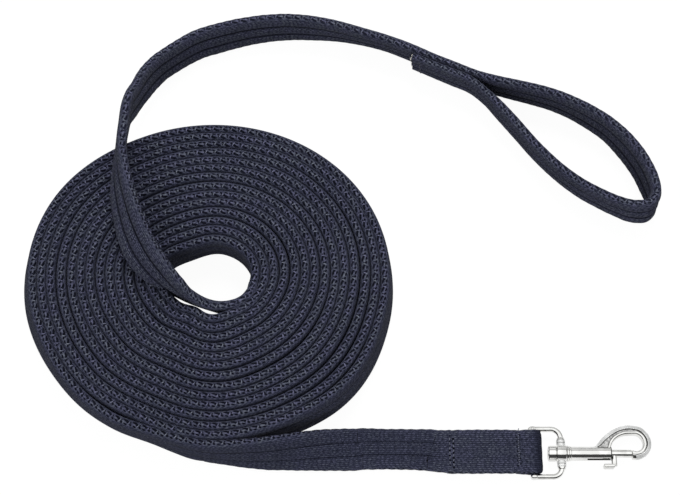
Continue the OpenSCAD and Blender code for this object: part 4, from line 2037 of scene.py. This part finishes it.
@dataclass(frozen=True)
class Studio:
    """Camera, floor and light, in metres.

    Attributes:
        stand: The camera's place.
        tilt: Its tilt from straight down, in degrees.
        sensor: Width of its sensor, in millimetres.
        lens: Its focal length, in millimetres.
        floor_half: Half the floor's width.
        floor_z: The floor's height, just under the line.
        floor_tone: The floor's brightness as the camera sees it, and as it lights the strap.
        floor_shine: What the floor adds in the metal's reflections.
        floor_matte: Share of the floor's finish that takes shadows.
    """

    stand: Place = (0.080, -0.3426, 0.9272)
    tilt: float = 22.0
    sensor: float = 36.0
    lens: float = 84.7
    floor_half: float = 4.0
    floor_z: float = -0.00005
    floor_tone: tuple[float, float] = (1.03, 0.25)
    floor_shine: float = 0.6
    floor_matte: float = 0.08

    def camera(self) -> None:
        """Sets the camera above the near side."""
        data = bpy.data.cameras.new("view")
        data.sensor_fit = "HORIZONTAL"
        data.sensor_width = self.sensor
        data.lens = self.lens
        data.clip_start = 0.01
        cam = bpy.data.objects.new("view", data)
        cam.location = self.stand
        cam.rotation_euler = (math.radians(self.tilt), 0.0, 0.0)
        bpy.context.scene.collection.objects.link(cam)
        bpy.context.scene.camera = cam

    def floor(self) -> None:
        """A wide white floor with a faint shadow, dimmer where it only lights the strap."""
        w, z = self.floor_half / MM, self.floor_z / MM
        verts = np.array([(-w, -w, z), (w, -w, z), (w, w, z), (-w, w, z)])
        obj = new_mesh("floor", verts, [(0, 1, 2, 3)])
        g = Surface("floor")
        links = g.tree.links
        g.tree.nodes.remove(g.shader)
        out = next(n for n in g.tree.nodes if n.type == "OUTPUT_MATERIAL")
        seen_tone, cast_tone = self.floor_tone
        seen, shiny = g.ray("Is Camera Ray"), g.ray("Is Glossy Ray")
        glow = g.node("ShaderNodeEmission")
        tone = seen * (seen_tone - cast_tone) + shiny * self.floor_shine + cast_tone
        g.plug(tone, glow.inputs[1])
        matte = g.node("ShaderNodeBsdfDiffuse")
        matte.inputs[0].default_value = grey(0.85)
        blend = g.node("ShaderNodeMixShader")
        blend.inputs[0].default_value = self.floor_matte
        links.new(glow.outputs[0], blend.inputs[1])
        links.new(matte.outputs[0], blend.inputs[2])
        links.new(blend.outputs[0], out.inputs[0])
        obj.data.materials.append(g.material)

    def lights(self) -> None:
        """A wide soft key from behind and above, a weak fill and a low front lamp."""
        Lamp("key", (0.15, 0.95, 1.15), (0.05, 0.03, 0.0), size=0.8, power=17.0).build()
        Lamp("fill", (-0.9, -0.3, 1.2), (0.05, 0.0, 0.0), size=0.8, power=4.0).build()
        Lamp("front", (0.15, -1.3, 0.4), (0.05, 0.05, 0.0), size=0.9, power=9.0).build()

    def sky(self) -> None:
        """A studio of bright panels with dark gaps, which only the plated metal mirrors."""
        world = bpy.data.worlds.new("studio")
        bpy.context.scene.world = world
        world.use_nodes = True
        g = Graph(world.node_tree)
        back = g.tree.nodes["Background"]
        x, y, z = g.parts(g.node("ShaderNodeTexCoord").outputs["Generated"])
        # Angles above the horizon, in degrees: from the far side, and from the snap's far end.
        over = g.math("ARCTAN2", z, y) * (180 / math.pi)
        side = g.math("ARCTAN2", z, x) * (180 / math.pi)
        far = 0.4 + 0.35 * g.step(3, 10, over) - 0.3 * g.step(30, 40, over)
        far = far + 0.65 * g.step(48, 60, over)
        gap = g.step(112, 120, over) * g.step(176, 166, over)
        ends = g.step(6, 44, side) * g.step(176, 146, side)
        panels = far * (1.0 - gap * 0.97) * (0.12 + 0.88 * ends)
        soft = 0.35 + 0.4 * g.step(0.0, 0.9, z)
        shiny, seen = g.ray("Is Glossy Ray"), g.ray("Is Camera Ray")
        light = shiny * (panels + 0.02) + (1.0 - shiny) * soft
        g.plug(light * (1.0 - seen) + seen, back.inputs[1])
        back.inputs[0].default_value = grey(1.0)

    def build(self) -> None:
        """Makes the studio."""
        self.camera()
        self.floor()
        self.lights()
        self.sky()
        view = bpy.context.scene.view_settings
        view.view_transform = "Standard"
        view.look = "None"


def metal_finishes() -> Metals:
    """Bright plate, the web's sand-cast look, the satin rim, and painted shade for the hollows.

    Returns:
        A material for each finish.
    """
    finishes = {
        Metal.PLATE: Plating("nickel"),
        Metal.CAST: Plating(
            "nickel_web", (0.66, 0.66, 0.65, 1.0), grey(0.34), rough=0.34, grain=1500.0,
            relief=0.00012, mottle=600.0,
        ),
        Metal.SATIN: Plating(
            "nickel_rim", (0.74, 0.745, 0.74, 1.0), (0.58, 0.585, 0.58, 1.0), rough=0.3, metal=0.45
        ),
        # Painted shade: a dark, dull grey.
        Metal.BORE: Plating(
            "bore", (0.14, 0.14, 0.13, 1.0), (0.06, 0.06, 0.055, 1.0), rough=0.35, grain=900.0,
            relief=0.00005,
        ),
    }
    return {metal: plating.build() for metal, plating in finishes.items()}


def webbing_finishes() -> Webbing:
    """The strap with its three materials.

    Returns:
        The strap, not built yet.
    """
    # Less painted shade in the pits, weaker painted highlight, darker painted shade in the grooves.
    loose = Weave(
        name="loose_webbing", pit_shade=0.78, lift=1.06, slash_highlight=0.34, channel=0.85, channel_mm=1.1,
        thread=1.35,
    )
    sewn = Weave(name="sewn_webbing", holes=REAR_ROWS + FRONT_ROWS)
    return Webbing(Weave().build(), loose.build(), sewn.build())


def main() -> None:
    """Dresses the frame."""
    logging.basicConfig(level=logging.INFO, format="%(name)s: %(message)s")
    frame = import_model()
    Studio().build()
    webbing = webbing_finishes()
    webbing.build()
    metals = metal_finishes()
    SwivelEye().build(metals)
    BoltSnap().build(metals, Plating("spring_steel", grey(0.6), grey(0.4), rough=0.2).build())
    core = Yarn("core_yarn", (0.45, 0.44, 0.40, 1.0), (0.8, 0.78, 0.72, 1.0)).build()
    CoreEnd().build(webbing.loop_track(), core)
    Sewing().build(Yarn("thread", (0.05, 0.055, 0.085, 1.0), (0.16, 0.17, 0.22, 1.0)).build())
    deep = Yarn("deep_thread", (0.012, 0.013, 0.024, 1.0), (0.04, 0.043, 0.066, 1.0)).build()
    for name in ("loop_stitch_rear", "loop_stitch_front"):
        for slot in frame["nodes"][name].material_slots:
            slot.material = deep


if __name__ == "__main__":
    main()
